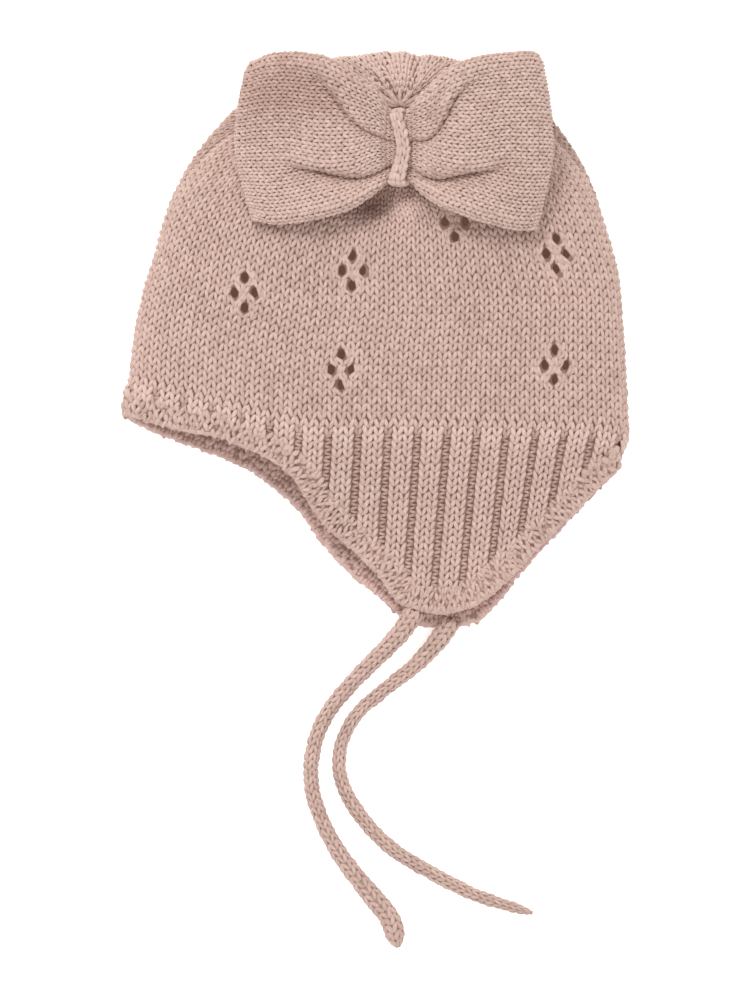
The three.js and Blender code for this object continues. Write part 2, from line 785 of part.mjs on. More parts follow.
// The loop's end is a half circle between the back and the front layer.
function endPoint(isRight, across, turn) {
  const front = loopPoint(isRight, loopEnd, across, true);
  const back = loopPoint(isRight, loopEnd, across, false);
  const mid = front.clone().lerp(back, 0.5);
  const r = front.distanceTo(back) / 2;
  const sign = isRight ? 1 : -1;
  const y = knotY + (mid.y - knotY) * (1 - 0.05 * Math.sin(turn));
  return new THREE.Vector3(mid.x + sign * r * 0.9 * Math.sin(turn), y, mid.z + r * Math.cos(turn));
}

const frontStations = [0, 0.09, 0.14, 0.22, 0.31, 0.41, 0.52, 0.64, 0.76, 0.87, loopEnd];
const backStations = [loopEnd, 0.82, 0.66, 0.5, 0.34, 0.2, 0.09];
const turns = [0.27, 0.5, 0.73];
const strip = [];
for (const isRight of [true, false]) {
  const at = (k, out) => rowAcross(k, out, isRight);
  const front = frontStations.map((out) => (k) => loopPoint(isRight, out, at(k, out), true));
  const end = turns.map((t) => (k) => endPoint(isRight, at(k, loopEnd), Math.PI * t));
  const back = backStations.map((out) => (k) => loopPoint(isRight, out, at(k, out), false));
  const half = [...front, ...end, ...back];
  if (isRight) strip.push(...half, (k) => loopPoint(true, 0, at(k, 0), false));
  else strip.push(...half.slice(1).reverse());
}

const stripMiddle = strip.map((station) => {
  const row = [];
  for (let k = 0; k <= bowRows; k += 1) row.push(station(k));
  return row;
});

function stripNormal(i, k) {
  const n = stripMiddle.length;
  const along = stripMiddle[(i + 1) % n][k].clone().sub(stripMiddle[(i + n - 1) % n][k]);
  const row = stripMiddle[i];
  const across = row[Math.min(k + 1, bowRows)].clone().sub(row[Math.max(k - 1, 0)]);
  return along.cross(across).normalize();
}

const bowSections = stripMiddle.map((row, i) => {
  const outside = row.map((p, k) => p.clone().addScaledVector(stripNormal(i, k), bowWall / 2));
  const inside = row.map((p, k) => p.clone().addScaledVector(stripNormal(i, k), -bowWall / 2));
  return [...outside, ...inside.reverse()];
});
const bowGeometry = closedGrid(bowSections.reverse(), true);

// Wrap: a flat ring round the knot, with a rounded outside.
function knotProfile(turn, grow) {
  const high = knotBack + knotBulk + bowWall / 2 + clear;
  const low = knotBack - bowWall / 2 - clear;
  const half = knotHalf + knotRoom;
  const c = Math.cos(turn);
  const s = Math.sin(turn);
  const y = knotY + (half + grow) * Math.sign(c) * Math.abs(c) ** wrapCorner;
  const z = (high + low) / 2 + ((high - low) / 2 + grow) * Math.sign(s) * Math.abs(s) ** wrapCorner;
  return { y, z };
}

const wrapSection = [
  { x: -0.5, grow: 0 },
  { x: 0.5, grow: 0 },
  { x: 0.5, grow: 0.7 },
  { x: 0.28, grow: 1 },
  { x: -0.28, grow: 1 },
  { x: -0.5, grow: 0.7 },
];
const wrapRows = [];
for (let i = 0; i < 20; i += 1) {
  const turn = (Math.PI * 2 * i) / 20;
  wrapRows.push(wrapSection.map((s) => {
    const { y, z } = knotProfile(turn, wrapWall * s.grow);
    return new THREE.Vector3(knotX + wrapWidth * s.x, y, z);
  }));
}
const wrapGeometry = closedGrid(wrapRows, true);

// Ties
function tie(route) {
  const path = new THREE.CatmullRomCurve3(route.map((p) => new THREE.Vector3(p.x, p.y, p.z)));
  const shape = new THREE.Shape();
  for (let k = 0; k < 8; k += 1) {
    const a = (Math.PI * (k + 0.5)) / 4;
    const x = (tieDiameter / 2) * Math.cos(a);
    const y = (tieDiameter / 2) * Math.sin(a);
    if (k === 0) shape.moveTo(x, y);
    else shape.lineTo(x, y);
  }
  return new THREE.ExtrudeGeometry(shape, { steps: 16, extrudePath: path, bevelEnabled: false });
}

const yarn = { roughness: 0.95, metalness: 0 };
const materials = {
  crown: new THREE.MeshStandardMaterial({ color: 0xc1a296, ...yarn }),
  ribs: new THREE.MeshStandardMaterial({ color: 0xc2a398, ...yarn }),
  edging: new THREE.MeshStandardMaterial({ color: 0xc0a095, ...yarn }),
  bow: new THREE.MeshStandardMaterial({ color: 0xbf9f92, ...yarn }),
  tie: new THREE.MeshStandardMaterial({ color: 0xc1a094, ...yarn }),
};

const bonnet = new THREE.Group();

function add(name, geometry, material, parent = bonnet) {
  const mesh = new THREE.Mesh(geometry, material);
  mesh.name = name;
  parent.add(mesh);
  return mesh;
}

add('crown', crownGeometry, materials.crown);
add('rib_band', ribGeometry, materials.ribs);
add('hem_edging', edgeGeometry, materials.edging);
const bow = new THREE.Group();
bonnet.add(bow);
add('bow_loops', bowGeometry, materials.bow, bow);
add('bow_wrap', wrapGeometry, materials.bow, bow);
add('tie_near', tie(tieNear), materials.tie);
add('tie_far', tie(tieFar), materials.tie);

export default bonnet;
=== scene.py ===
# Baby bonnet with ear flaps, a knitted bow and two ties, lying on its side on a pale floor.
# Shapes are worked out in millimetres and turned into metres when a mesh is made.
import bpy
import numpy as np
from math import pi
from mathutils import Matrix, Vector
from mathutils.bvhtree import BVHTree


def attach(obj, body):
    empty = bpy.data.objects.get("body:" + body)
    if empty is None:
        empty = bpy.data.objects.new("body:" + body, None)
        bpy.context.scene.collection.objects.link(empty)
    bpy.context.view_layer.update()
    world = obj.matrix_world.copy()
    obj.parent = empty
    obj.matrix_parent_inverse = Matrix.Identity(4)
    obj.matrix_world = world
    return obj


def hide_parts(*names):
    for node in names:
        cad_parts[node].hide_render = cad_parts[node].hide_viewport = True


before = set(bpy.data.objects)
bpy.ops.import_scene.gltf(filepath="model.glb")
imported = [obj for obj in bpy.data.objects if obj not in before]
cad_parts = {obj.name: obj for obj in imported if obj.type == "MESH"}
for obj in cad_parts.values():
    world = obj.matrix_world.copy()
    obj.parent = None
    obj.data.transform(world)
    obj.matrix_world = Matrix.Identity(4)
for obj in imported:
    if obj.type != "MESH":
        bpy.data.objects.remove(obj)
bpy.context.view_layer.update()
mm = 0.001
dice = np.random.default_rng(11)

# What the camera sees: the photograph's middle lies this far below the hat's middle.
view = {
    "middleY": -64.4,
    "height": 6000,
    "level": 20,  # the scale is exact at this height over the floor
    "tall": 400,  # how much of that level the picture's height covers
    "sensor": 36,
}


def inScene(name, data):
    made = bpy.data.objects.new(name, data)
    bpy.context.scene.collection.objects.link(made)
    return made


def placeCamera():
    data = bpy.data.cameras.new("camera")
    data.sensor_fit = "VERTICAL"
    data.sensor_height = view["sensor"]
    data.lens = view["sensor"] * (view["height"] - view["level"]) / view["tall"]
    data.clip_end = 20
    camera = inScene("camera", data)
    camera.location = (0, view["middleY"] * mm, view["height"] * mm)
    bpy.context.scene.camera = camera


placeCamera()


# Materials
class Wire:
    def __init__(self, tree, socket=None):
        self.tree = tree
        self.socket = socket

    def plug(self, target, value):
        if isinstance(value, Wire):
            self.tree.links.new(value.socket, target)
        else:
            target.default_value = value

    def node(self, kind, settings={}, sockets={}, out=0):
        made = self.tree.nodes.new(kind)
        for name, value in settings.items():
            setattr(made, name, value)
        for name, value in sockets.items():
            self.plug(made.inputs[name], value)
        return Wire(self.tree, made.outputs[out] if made.outputs else None)

    def noise(self, place, scale, detail, rough):
        return self.node("ShaderNodeTexNoise", {}, {
            "Vector": place, "Scale": scale, "Detail": detail, "Roughness": rough})

    def surface(self, sockets):
        made = self.node("ShaderNodeBsdfPrincipled", {}, sockets)
        self.node("ShaderNodeOutputMaterial", {}, {"Surface": made})

    def maths(self, operation, a, b=None):
        sockets = {0: a} if b is None else {0: a, 1: b}
        return self.node("ShaderNodeMath", {"operation": operation}, sockets)

    def __add__(self, other):
        return self.maths("ADD", self, other)

    def __radd__(self, other):
        return self.maths("ADD", other, self)

    def __sub__(self, other):
        return self.maths("SUBTRACT", self, other)

    def __rsub__(self, other):
        return self.maths("SUBTRACT", other, self)

    def __mul__(self, other):
        return self.maths("MULTIPLY", self, other)

    def __rmul__(self, other):
        return self.maths("MULTIPLY", other, self)

    def sine(self):
        return self.maths("SINE", self)

    def held(self):
        return self.node("ShaderNodeClamp", {}, {"Value": self})

    def blend(self, a, b):  # a colour from a to b
        return self.node("ShaderNodeMix", {"data_type": "RGBA"}, {0: self, 6: a, 7: b}, 2)


def colour(red, green, blue):  # from the 0 to 255 values of a picture
    return tuple((c / 255 / 12.92 if c < 11 else ((c / 255 + 0.055) / 1.055) ** 2.4)
                 for c in (red, green, blue)) + (1,)


def newMaterial(name):
    material = bpy.data.materials.new(name)
    material.use_nodes = True
    material.node_tree.nodes.clear()
    return material, Wire(material.node_tree)


def yarnMaterial(name, look):
    material, wire = newMaterial(name)
    place = wire.node("ShaderNodeTexCoord", out="Object")
    yarn = wire.node("ShaderNodeAttribute", {"attribute_name": "yarn"}, out="Vector")
    parts = yarn.node("ShaderNodeSeparateXYZ", {}, {0: yarn})
    around, along, shade = (Wire(wire.tree, out) for out in parts.socket.node.outputs)

    # plies wind round the yarn, and fibres lie along them
    ply = (around * (2 * pi * look["plies"]) + along * look["twist"]).sine()
    fibrePlace = wire.node("ShaderNodeCombineXYZ", {}, {
        0: around * 9 + along * 0.5, 1: along * 0.55, 2: shade * 37})
    fibre = wire.noise(fibrePlace, look["fibre"], 3, 0.65)
    melange = wire.noise(place, look["melange"], 2, 0.6)
    patch = wire.noise(place, look["patch"], 1, 0.5)
    fuzz = wire.noise(place, look["fuzz"], 3, 0.7)

    tint = (fibre * 0.8 + melange * 0.45 + shade * 0.35 + patch * 0.4 - 0.5).held()
    cloth = tint.blend(look["deep"], look["pale"])
    rose = ((melange - 0.5) * 3 + (patch - 0.5) * 2 + shade * 0.5 - 0.1).held()
    final = (rose * look["roseShare"]).blend(cloth, look["rose"])
    height = ply * 0.28 + fibre * 0.5 + fuzz * 0.55
    bump = wire.node("ShaderNodeBump", {}, {
        "Strength": look["bump"], "Distance": look["bumpDepth"], "Height": height})
    wire.surface({
        "Base Color": final,
        "Roughness": (0.82 + fuzz * 0.2).held(),
        "Specular IOR Level": 0.22,
        "Sheen Weight": look["sheen"],
        "Sheen Roughness": 0.45,
        "Sheen Tint": look["sheenTint"],
        "Emission Color": look["glowTint"],
        "Emission Strength": look["glow"],
        "Normal": bump,
    })
    return material


stitchYarn = {
    "deep": colour(179, 146, 134),
    "pale": colour(222, 197, 186),
    "rose": colour(197, 155, 147),
    "roseShare": 0.3,
    "glow": 0,  # a little light of its own, so that the hat's hollow isn't black
    "glowTint": colour(128, 98, 86),
    "plies": 2,
    "twist": 2.4,
    "fibre": 1.6,  # scales of the noises, from single fibres to patches of tone
    "fuzz": 1900,
    "melange": 420,
    "patch": 26,
    "bump": 0.5,
    "bumpDepth": 0.0006,
    "sheen": 0.25,
    "sheenTint": colour(255, 238, 230),
}
# The ground under the stitches is darker than the yarn as painted shade in the gaps between stitches, and
# its glow is painted light in the hat's hollow and in the eyelets.
gapShadeYarn = dict(stitchYarn, deep=colour(106, 78, 69), pale=colour(148, 116, 106), sheen=0.1,
                  glow=0.45)
# The border's ground is darker than the yarn too: painted shade in the gaps between the border's stitches.
edgeGapShadeYarn = dict(stitchYarn, deep=colour(142, 112, 102), pale=colour(182, 150, 139), sheen=0.1)
# The border's inside is paler than the hat's yarn and glows: painted light against the shade under the near
# flap.
litInnerYarn = dict(stitchYarn, deep=colour(180, 150, 143), pale=colour(226, 200, 193), glow=0.28)
# The bow's yarn is a paler copy of the hat's: painted light on the raised bow.
litBowYarn = dict(stitchYarn, deep=colour(181, 149, 137), pale=colour(226, 202, 191))
materials = {
    "stitch": yarnMaterial("stitch_yarn", stitchYarn),
    "ground": yarnMaterial("gap_shade_yarn", gapShadeYarn),
    "edge": yarnMaterial("edge_gap_shade_yarn", edgeGapShadeYarn),
    "inner": yarnMaterial("lit_inner_yarn", litInnerYarn),
    "bow": yarnMaterial("lit_bow_yarn", litBowYarn),
}


# Meshes
class Knit:
    # gathers points and faces, then makes one object of them
    def __init__(self):
        self.points = []
        self.quads = []
        self.tris = []
        self.yarn = []
        self.count = 0

    def add(self, points, quads, tris, yarn):
        self.points.append(points.reshape(-1, 3))
        self.quads.append(quads.reshape(-1, 4) + self.count)
        self.tris.append(tris.reshape(-1, 3) + self.count)
        self.yarn.append(yarn.reshape(-1, 3))
        self.count += len(self.points[-1])

    def make(self, name, material, slotName, *nodes):
        points = np.concatenate(self.points) * mm
        points[:, 2] = np.maximum(points[:, 2], 0.0001)
        quads = np.concatenate(self.quads)
        tris = np.concatenate(self.tris)
        mesh = bpy.data.meshes.new(name)
        mesh.vertices.add(len(points))
        mesh.vertices.foreach_set("co", points.ravel())
        corners = np.concatenate([quads.ravel(), tris.ravel()]).astype(np.int32)
        mesh.loops.add(len(corners))
        mesh.loops.foreach_set("vertex_index", corners)
        starts = np.append(np.arange(len(quads)) * 4, len(quads) * 4 + np.arange(len(tris)) * 3)
        mesh.polygons.add(len(starts))
        mesh.polygons.foreach_set("loop_start", starts.astype(np.int32))
        mesh.polygons.foreach_set("use_smooth", np.ones(len(starts), bool))
        mesh.update(calc_edges=True)
        mesh.validate()
        attribute = mesh.attributes.new("yarn", "FLOAT_VECTOR", "POINT")
        attribute.data.foreach_set("vector", np.concatenate(self.yarn).astype(np.float32).ravel())
        mesh.materials.append(material)
        piece = inScene(name, mesh)
        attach(piece, "root")
        if nodes:
            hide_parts(*nodes)
        print(f"{name}: {2 * len(quads) + len(tris)} triangles")
        return piece


def unit(v):
    return v / np.maximum(np.linalg.norm(v, axis=-1, keepdims=True), 1e-9)


def closed(points):  # back to the first one
    return np.concatenate([points, points[:1]])


def walk(points, axis=0):  # how far each point lies along its line
    steps = np.linalg.norm(np.diff(points, axis=axis), axis=-1)
    return np.concatenate([np.zeros_like(steps.take([0], axis)), np.cumsum(steps, axis=axis)], axis=axis)


def takenAt(want, walked, points):  # a line's points at these distances along it
    return np.stack([np.interp(want, walked, points[:, k]) for k in range(3)], -1)


def smoothRound(values, times, axis=0):
    for k in range(times):
        values = (np.roll(values, 1, axis) + 2 * values + np.roll(values, -1, axis)) / 4
    return values


def hump(x, a, wide, y, b, high):  # 1 at (a, b), and fading over wide and high
    return np.exp(-((x - a) / wide) ** 2 - ((y - b) / high) ** 2)


def hermite(s, h, a, slopeA, b, slopeB):  # s goes from 0 at a to 1 at b, and h is their distance
    return ((1 + 2 * s) * (1 - s) ** 2 * a + s * (1 - s) ** 2 * h * slopeA
            + s * s * (3 - 2 * s) * b + s * s * (s - 1) * h * slopeB)


def smoothCurve(x, y):  # never overshoots its points
    x, y = np.array(x, float), np.array(y, float)
    d = np.diff(y) / np.diff(x)
    slope = np.concatenate([d[:1], np.zeros(len(x) - 2), d[-1:]])
    same = d[:-1] * d[1:] > 0
    slope[1:-1] = np.where(same, 2 * d[:-1] * d[1:] / np.where(same, d[:-1] + d[1:], 1), 0)

    def at(t):
        t = np.clip(t, x[0], x[-1])
        i = np.clip(np.searchsorted(x, t) - 1, 0, len(x) - 2)
        h = x[i + 1] - x[i]
        return hermite((t - x[i]) / h, h, y[i], slope[i], y[i + 1], slope[i + 1])
    return at


def curvesOf(table, key):
    return {name: smoothCurve(table[key], values) for name, values in table.items() if name != key}


class Cloth:
    # a surface in rows along v, closed round u; points that leave its first or last row go straight on
    def __init__(self, points, normals=None):
        self.points = points
        self.normals = normals
        if normals is None:
            around = np.roll(points, -1, 1) - np.roll(points, 1, 1)
            self.normals = unit(np.cross(np.gradient(points, axis=0), around))

    def at(self, u, v):
        u, v = np.broadcast_arrays(u, v)
        rows, columns = self.points.shape[:2]
        y = v * (rows - 1)
        i = np.clip(np.floor(y), 0, rows - 2).astype(int)
        x = (u % 1) * columns
        j = np.floor(x).astype(int) % columns
        fy = (y - i)[..., None]
        fx = (x - np.floor(x))[..., None]
        k = (j + 1) % columns

        def mixed(grid):
            low = grid[i, j] * (1 - fx) + grid[i, k] * fx
            high = grid[i + 1, j] * (1 - fx) + grid[i + 1, k] * fx
            return low * (1 - fy) + high * fy
        return mixed(self.points), unit(mixed(self.normals))

    def lifted(self, u, v, h):
        p, n = self.at(u, v)
        return p + n * np.asarray(h)[..., None]

    def span(self, u, v, du, dv):  # how long a piece of cloth is that reaches over du or dv
        a = self.at(u - du / 2, v - dv / 2)[0]
        b = self.at(u + du / 2, v + dv / 2)[0]
        return np.linalg.norm(b - a, axis=-1)


def tubeFaces(rows, columns):  # its rings, closed at both ends round the points n and n + 1
    i = np.arange(rows - 1)[:, None] * columns
    j = np.arange(columns)
    m = (j + 1) % columns
    n = rows * columns
    quads = np.stack([i + j, i + columns + j, i + columns + m, i + m], -1)
    first = np.stack([np.full(columns, n), j, m], -1)
    last = np.stack([np.full(columns, n + 1), n - columns + m, n - columns + j], -1)
    return quads, np.concatenate([first, last])


def addTubes(knit, line, up, wide, thick, sides, shade):
    # short yarn lengths: line and up are (count, stations, 3), wide and thick are (count, stations)
    count, stations = line.shape[:2]
    along = unit(np.gradient(line, axis=1))
    side = unit(np.cross(along, up))
    up = np.cross(side, along)
    turn = -pi / 2 + 2 * pi * np.arange(sides) / sides
    rings = (line[:, :, None] + side[:, :, None] * (wide[..., None] / 2 * np.cos(turn))[..., None]
             + up[:, :, None] * (thick[..., None] / 2 * np.sin(turn))[..., None])
    first = line[:, 0] - along[:, 0] * thick[:, :1] * 0.3
    last = line[:, -1] + along[:, -1] * thick[:, -1:] * 0.3
    points = np.concatenate([rings.reshape(count, -1, 3), first[:, None], last[:, None]], axis=1)
    each = stations * sides + 2
    base = (np.arange(count) * each)[:, None, None]
    quads, tris = tubeFaces(stations, sides)
    far = walk(line, 1)
    yarn = np.empty((count, each, 3))
    yarn[:, :-2, 0] = np.tile(np.arange(sides) / sides, stations)
    yarn[:, -2:, 0] = 0.5
    yarn[:, :-2, 1] = np.repeat(far, sides, axis=1) + shade[:, None] * 40
    yarn[:, -2, 1] = shade * 40
    yarn[:, -1, 1] = far[:, -1] + shade * 40
    yarn[..., 2] = shade[:, None]
    knit.add(points, quads + base[..., None], tris + base, yarn)


def evenGrid(first, last, rows, columns):
    v, u = np.meshgrid(np.linspace(first, last, rows), np.arange(columns) / columns, indexing="ij")
    return u, v


def addShell(knit, cloth, u, v, outer, inner, capped=False):
    # a closed wall: u and v are (rows, columns), outer and inner are depths under the cloth's face
    rows, columns = u.shape
    top = cloth.lifted(u, v, -outer)
    under = cloth.lifted(u, v, -inner)
    total = 2 * rows
    points = np.concatenate([top[::-1], under]).reshape(-1, 3)
    i = np.arange(total if not capped else total - 1)[:, None]
    j = np.arange(columns)[None]
    k = (i + 1) % total
    m = (j + 1) % columns
    quads = np.stack([i * columns + j, i * columns + m, k * columns + m, k * columns + j], -1)
    tris = np.zeros((0, 3), int)
    yarn = np.zeros((len(points), 3))
    yarn[:, 0] = 0.5
    yarn[:, 1] = np.repeat(np.arange(total), columns) * 2.0
    yarn[:, 2] = 0.5
    if capped:
        tips = np.stack([top[-1].mean(0), under[-1].mean(0)])
        a = np.arange(columns)
        b = (a + 1) % columns
        n = len(points)
        back = (total - 1) * columns
        tris = np.concatenate([np.stack([b, a, np.full(columns, n)], -1),
                               np.stack([back + a, back + b, np.full(columns, n + 1)], -1)])
        points = np.concatenate([points, tips])
        yarn = np.concatenate([yarn, [[0.5, 0, 0.5], [0.5, 0, 0.5]]])
    knit.add(points, quads, tris, yarn)


# One stitch leg, from the loop below it up to the next one. aside is a share of the wale's width,
# up is a share of the row, and lift is in millimetres over the cloth's face less the yarn's own rise.
legNear = {
    "up": [-0.32, 0.08, 0.5, 0.92, 1.24],
    "aside": [0.05, 0.11, 0.245, 0.37, 0.4],
    "lift": [-1.55, -0.6, -0.28, -0.52, -1.55],
    "girth": [0.55, 0.92, 1.06, 0.98, 0.55],
    "sides": 5,
}
legFar = {
    "up": [-0.25, 0.5, 1.2],
    "aside": [0.08, 0.25, 0.38],
    "lift": [-1.4, -0.3, -1.4],
    "girth": [0.6, 1.1, 0.6],
    "sides": 4,
}


def wobble(size, count):
    return dice.normal(0, size, (count, 1))


def addStitches(knit, cloth, u, v, du, dv, leg, yarnWidth=0.47, yarnThick=1.5, alongU=False, keep=None,
                push=None, lower=0.0, loose=1.0, tone=0.0):
    # u and v are the middles of the stitches' feet; du is the wale's width and dv the row's height
    # tone is added to each stitch's random shade; the callers paint light and shade with it
    values = [a.ravel() for a in np.broadcast_arrays(u, v, du, dv, lower, tone)]
    if keep is not None:
        values = [a[keep] for a in values]
    u, v, du, dv, lower, tone = values
    for side in (-1, 1):
        count = len(u)
        up = leg["up"] + wobble(0.045 * loose, count)
        aside = np.array(leg["aside"]) * side + wobble(0.018 * loose, count)
        lift = leg["lift"] + wobble(0.1 * loose, count) - lower[:, None]
        if alongU:
            pu, pv = u[:, None] + up * dv[:, None], v[:, None] + aside * du[:, None]
            wale = cloth.span(u, v, 0, du)
        else:
            pu, pv = u[:, None] + aside * du[:, None], v[:, None] + up * dv[:, None]
            wale = cloth.span(u, v, du, 0)
        if push is not None:
            pu, pv = push(pu, pv)
        p, n = cloth.at(pu, pv)
        wide = np.minimum(wale * yarnWidth, 3.4)[:, None] * leg["girth"]
        wide = wide * (1 + wobble(0.06 * loose, count))
        thick = np.minimum(wide * 0.88, yarnThick * np.array(leg["girth"]))
        line = p + n * lift[..., None]
        addTubes(knit, line, n, wide, thick, leg["sides"], dice.random(count) + tone)


# The hat's own sizes, as in the solid model. Lengths are millimetres.
hat = {
    "halfWidth": 101.8,
    "crownRise": 151.6,
    "flapDrop": 80.8,
    "stuffed": 38.5,
    "wall": 2.8,
    "ribWall": 3.2,
    "edgeWall": 4.2,
    "edgeDepth": 10,
    "frontRise": 21,
    "pleats": 12,
    "pleatHeight": 1.9,
    "sunk": 1.0,  # how far the ground lies under the stitches' faces
    "rows": 58,
}
ribLine = (hat["flapDrop"] - hat["crownRise"]) / 2 - 0.6
rings = {
    "v": [0, 0.12, 0.25, 0.38, 0.5, 0.6, 0.7, 0.78, 0.86, 0.93, 0.97, 1],
    "side": [0, 0.132, 0.284, 0.422, 0.547, 0.64, 0.719, 0.772, 0.811, 0.838, 0.846, 0.847],
    "near": [0.023, 0.112, 0.218, 0.323, 0.422, 0.508, 0.594, 0.663, 0.732, 0.792, 0.825, 0.838],
    "far": [0.013, 0.158, 0.33, 0.515, 0.699, 0.838, 0.943, 0.993, 0.996, 0.95, 0.9, 0.861],
    "half": [0.982, 0.968, 0.944, 0.91, 0.862, 0.806, 0.717, 0.624, 0.481, 0.295, 0.157, 0.039],
    "shift": [0.016, 0.02, 0.03, 0.043, 0.037, 0.042, 0.049, 0.059, 0.074, 0.088, 0.098, 0.098],
    "sideLift": [0.364, 0.377, 0.39, 0.403, 0.416, 0.442, 0.481, 0.532, 0.623, 0.766, 0.857, 0.831],
    "nearLift": [0.883, 0.935, 0.974, 1, 1, 0.987, 0.961, 0.935, 0.922, 0.922, 0.909, 0.831],
    "farLift": [-0.208, -0.208, -0.208, -0.208, -0.156, -0.026, 0.13, 0.286, 0.494, 0.727, 0.857, 0.831],
    "front": [1, 0.8, 0.6, 0.35, 0.12, 0.04, 0, 0, 0, 0, 0, 0],
    "pleat": [0, 0, 0, 0, 0, 0, 0.1, 0.45, 1, 1, 0.55, 0],
}
dropLift = {
    "down": [0, 0.12, 0.25, 0.45, 0.7, 1],
    "near": [0.883, 0.82, 0.7, 0.5, 0.37, 0.325],
    "side": [0.364, 0.33, 0.28, 0.23, 0.2, 0.19],
}
hemNear = {
    "across": [-0.97, -0.838, -0.733, -0.615, -0.431, -0.318, -0.241, -0.158, -0.04, 0.056, 0.148, 0.334,
               0.479, 0.649, 0.851, 0.906, 0.937, 0.98, 0.998],
    "drop": [0.188, 0.205, 0.205, 0.191, 0.223, 0.286, 0.406, 0.54, 0.658, 0.77, 0.911, 0.955,
             0.903, 0.73, 0.45, 0.361, 0.297, 0.235, 0.181],
}
hemFar = {
    "across": [-0.97, -0.877, -0.712, -0.608, -0.478, -0.386, -0.275, -0.194, -0.091, 0.042, 0.244, 0.467,
               0.544, 0.604, 0.649, 0.851, 0.906, 0.937, 0.98, 0.998],
    "drop": [0.188, 0.225, 0.25, 0.26, 0.287, 0.342, 0.431, 0.562, 0.702, 0.839, 1, 0.988,
             0.911, 0.83, 0.755, 0.45, 0.361, 0.297, 0.235, 0.181],
}
ribLean = {
    "across": [-1, -0.8, -0.4, 0, 0.3, 0.53, 0.65, 0.76, 0.9, 1],
    "lean": [0.2, 0.12, 0.07, 0.06, 0.085, 0.115, 0.15, 0.19, 0.22, 0.2],
}
dents = {
    "x": [0.098, -0.02, 0.3, 0.13, -0.02],
    "up": [0.736, 0.597, 0.55, 0.575, 0.92],
    "wide": [0.15, 0.085, 0.085, 0.055, 0.05],
    "high": [0.154, 0.038, 0.037, 0.074, 0.04],
    "deep": [0.119, 0.2, 0.075, -0.075, 0.065],
}
ring = curvesOf(rings, "v")
lift = curvesOf(dropLift, "down")
nearDrop = smoothCurve(hemNear["across"], hemNear["drop"])
farDrop = smoothCurve(hemFar["across"], hemFar["drop"])
lean = smoothCurve(ribLean["across"], ribLean["lean"])


def dentAt(x, y):
    across = x / hat["halfWidth"]
    above = (y - ribLine) / hat["crownRise"]
    return hat["stuffed"] * sum(deep * hump(across, cx, wide, above, up, high)
                                for cx, up, wide, high, deep in zip(*dents.values()))


def crownPoint(v, angle, isNear):
    c, s = np.cos(angle), np.abs(np.sin(angle))
    x = hat["halfWidth"] * (ring["shift"](v) + ring["half"](v) * c)
    front = np.clip((-x / hat["halfWidth"] - 0.246) / 0.717, 0, 1) ** 1.2
    side = ring["side"](v)
    end = ring["near" if isNear else "far"](v)
    y = ribLine + hat["crownRise"] * (side + (end - side) * s)
    y = y + hat["frontRise"] * ring["front"](v) * front
    low = ring["sideLift"](v)
    high = ring["nearLift" if isNear else "farLift"](v)
    z = hat["stuffed"] * (low + (high - low) * s ** (0.85 if isNear else 1))
    if isNear:
        z = z - dentAt(x, y) * s
    return np.stack(np.broadcast_arrays(x, y, np.maximum(z, 0)), -1)


def evenAngles(v):  # angles that share out both halves of a ring into equal lengths of cloth
    angles = []
    half = masterColumns // 2
    for isNear in (True, False):
        start = 0 if isNear else pi
        fine = start + np.linspace(0, pi, 181)
        far = walk(crownPoint(np.full(181, v), fine, isNear))
        angles.append(np.interp(far[-1] * np.arange(half) / half, far, fine))
    return angles


masterColumns = 432
masterRings = np.linspace(0, 1, 201)
crownPoints = np.array([
    np.concatenate([crownPoint(np.full(masterColumns // 2, v), a, isNear)
                    for a, isNear in zip(evenAngles(v), (True, False))])
    for v in masterRings])
u0 = np.arange(masterColumns) / masterColumns
# Even pleats hidden by the bow, and a few deeper grooves in the cloth that shows above it.
grooves = {
    "rim": [0.69, 0.75, 0.788, 0.86],  # where each runs at the widest ring, round the hat
    "pole": [0.64, 0.703, 0.8, 0.88],  # and near the gathered pole
    "wide": [0.012, 0.008, 0.009, 0.012],
    "deep": [0.25, 0.55, 0.6, 0.25],
}
pinch = {"u": 0.678, "v": 0.945, "wide": 0.012, "high": 0.014, "deep": 1.3}  # beside the knot


def gathers():
    wave = np.cos(2 * pi * hat["pleats"] * u0)[None] * np.where(u0 < 0.5, 1, 0.2)[None]
    total = np.repeat(wave, len(masterRings), axis=0)
    for rim, pole, wide, deep in zip(*grooves.values()):
        place = np.interp(masterRings, [0.86, 0.96], [rim, pole])[:, None]
        total = total - deep * np.exp(-((u0[None] - place) / wide) ** 2)
    total = total - pinch["deep"] * hump(u0[None], pinch["u"], pinch["wide"],
                                         masterRings[:, None], pinch["v"], pinch["high"])
    return hat["pleatHeight"] * ring["pleat"](masterRings)[:, None] * total


crownPoints = crownPoints + Cloth(crownPoints).normals * gathers()[..., None]


# Rows of stitches: even on the far layer and at the folds, and bunched under the bow on the near one.
rowPlace = smoothCurve([0, 0.25, 0.5, 0.75, 1], [0, 0.345, 0.68, 0.88, 1])


def reRowed(points, steps):
    far = walk(points)
    t = np.linspace(0, 1, steps)
    out = np.empty((steps, masterColumns, 3))
    for j in range(masterColumns):
        s = np.sin(2 * pi * u0[j]) if u0[j] < 0.5 else 0
        out[:, j] = takenAt(far[-1, j] * (t + (rowPlace(t) - t) * s), far[:, j], points[:, j])
    return out


crownCloth = Cloth(reRowed(crownPoints, hat["rows"] * 4 + 1))
print("crown surface ready")

# Ribs and border hang from the crown's first ring.
bandDepth = 86  # how far down the band's surface is worked out
bandSteps = 130
startPoints = crownPoints[0]
startAngles = np.concatenate(evenAngles(0))
nearColumns = u0 < 0.5


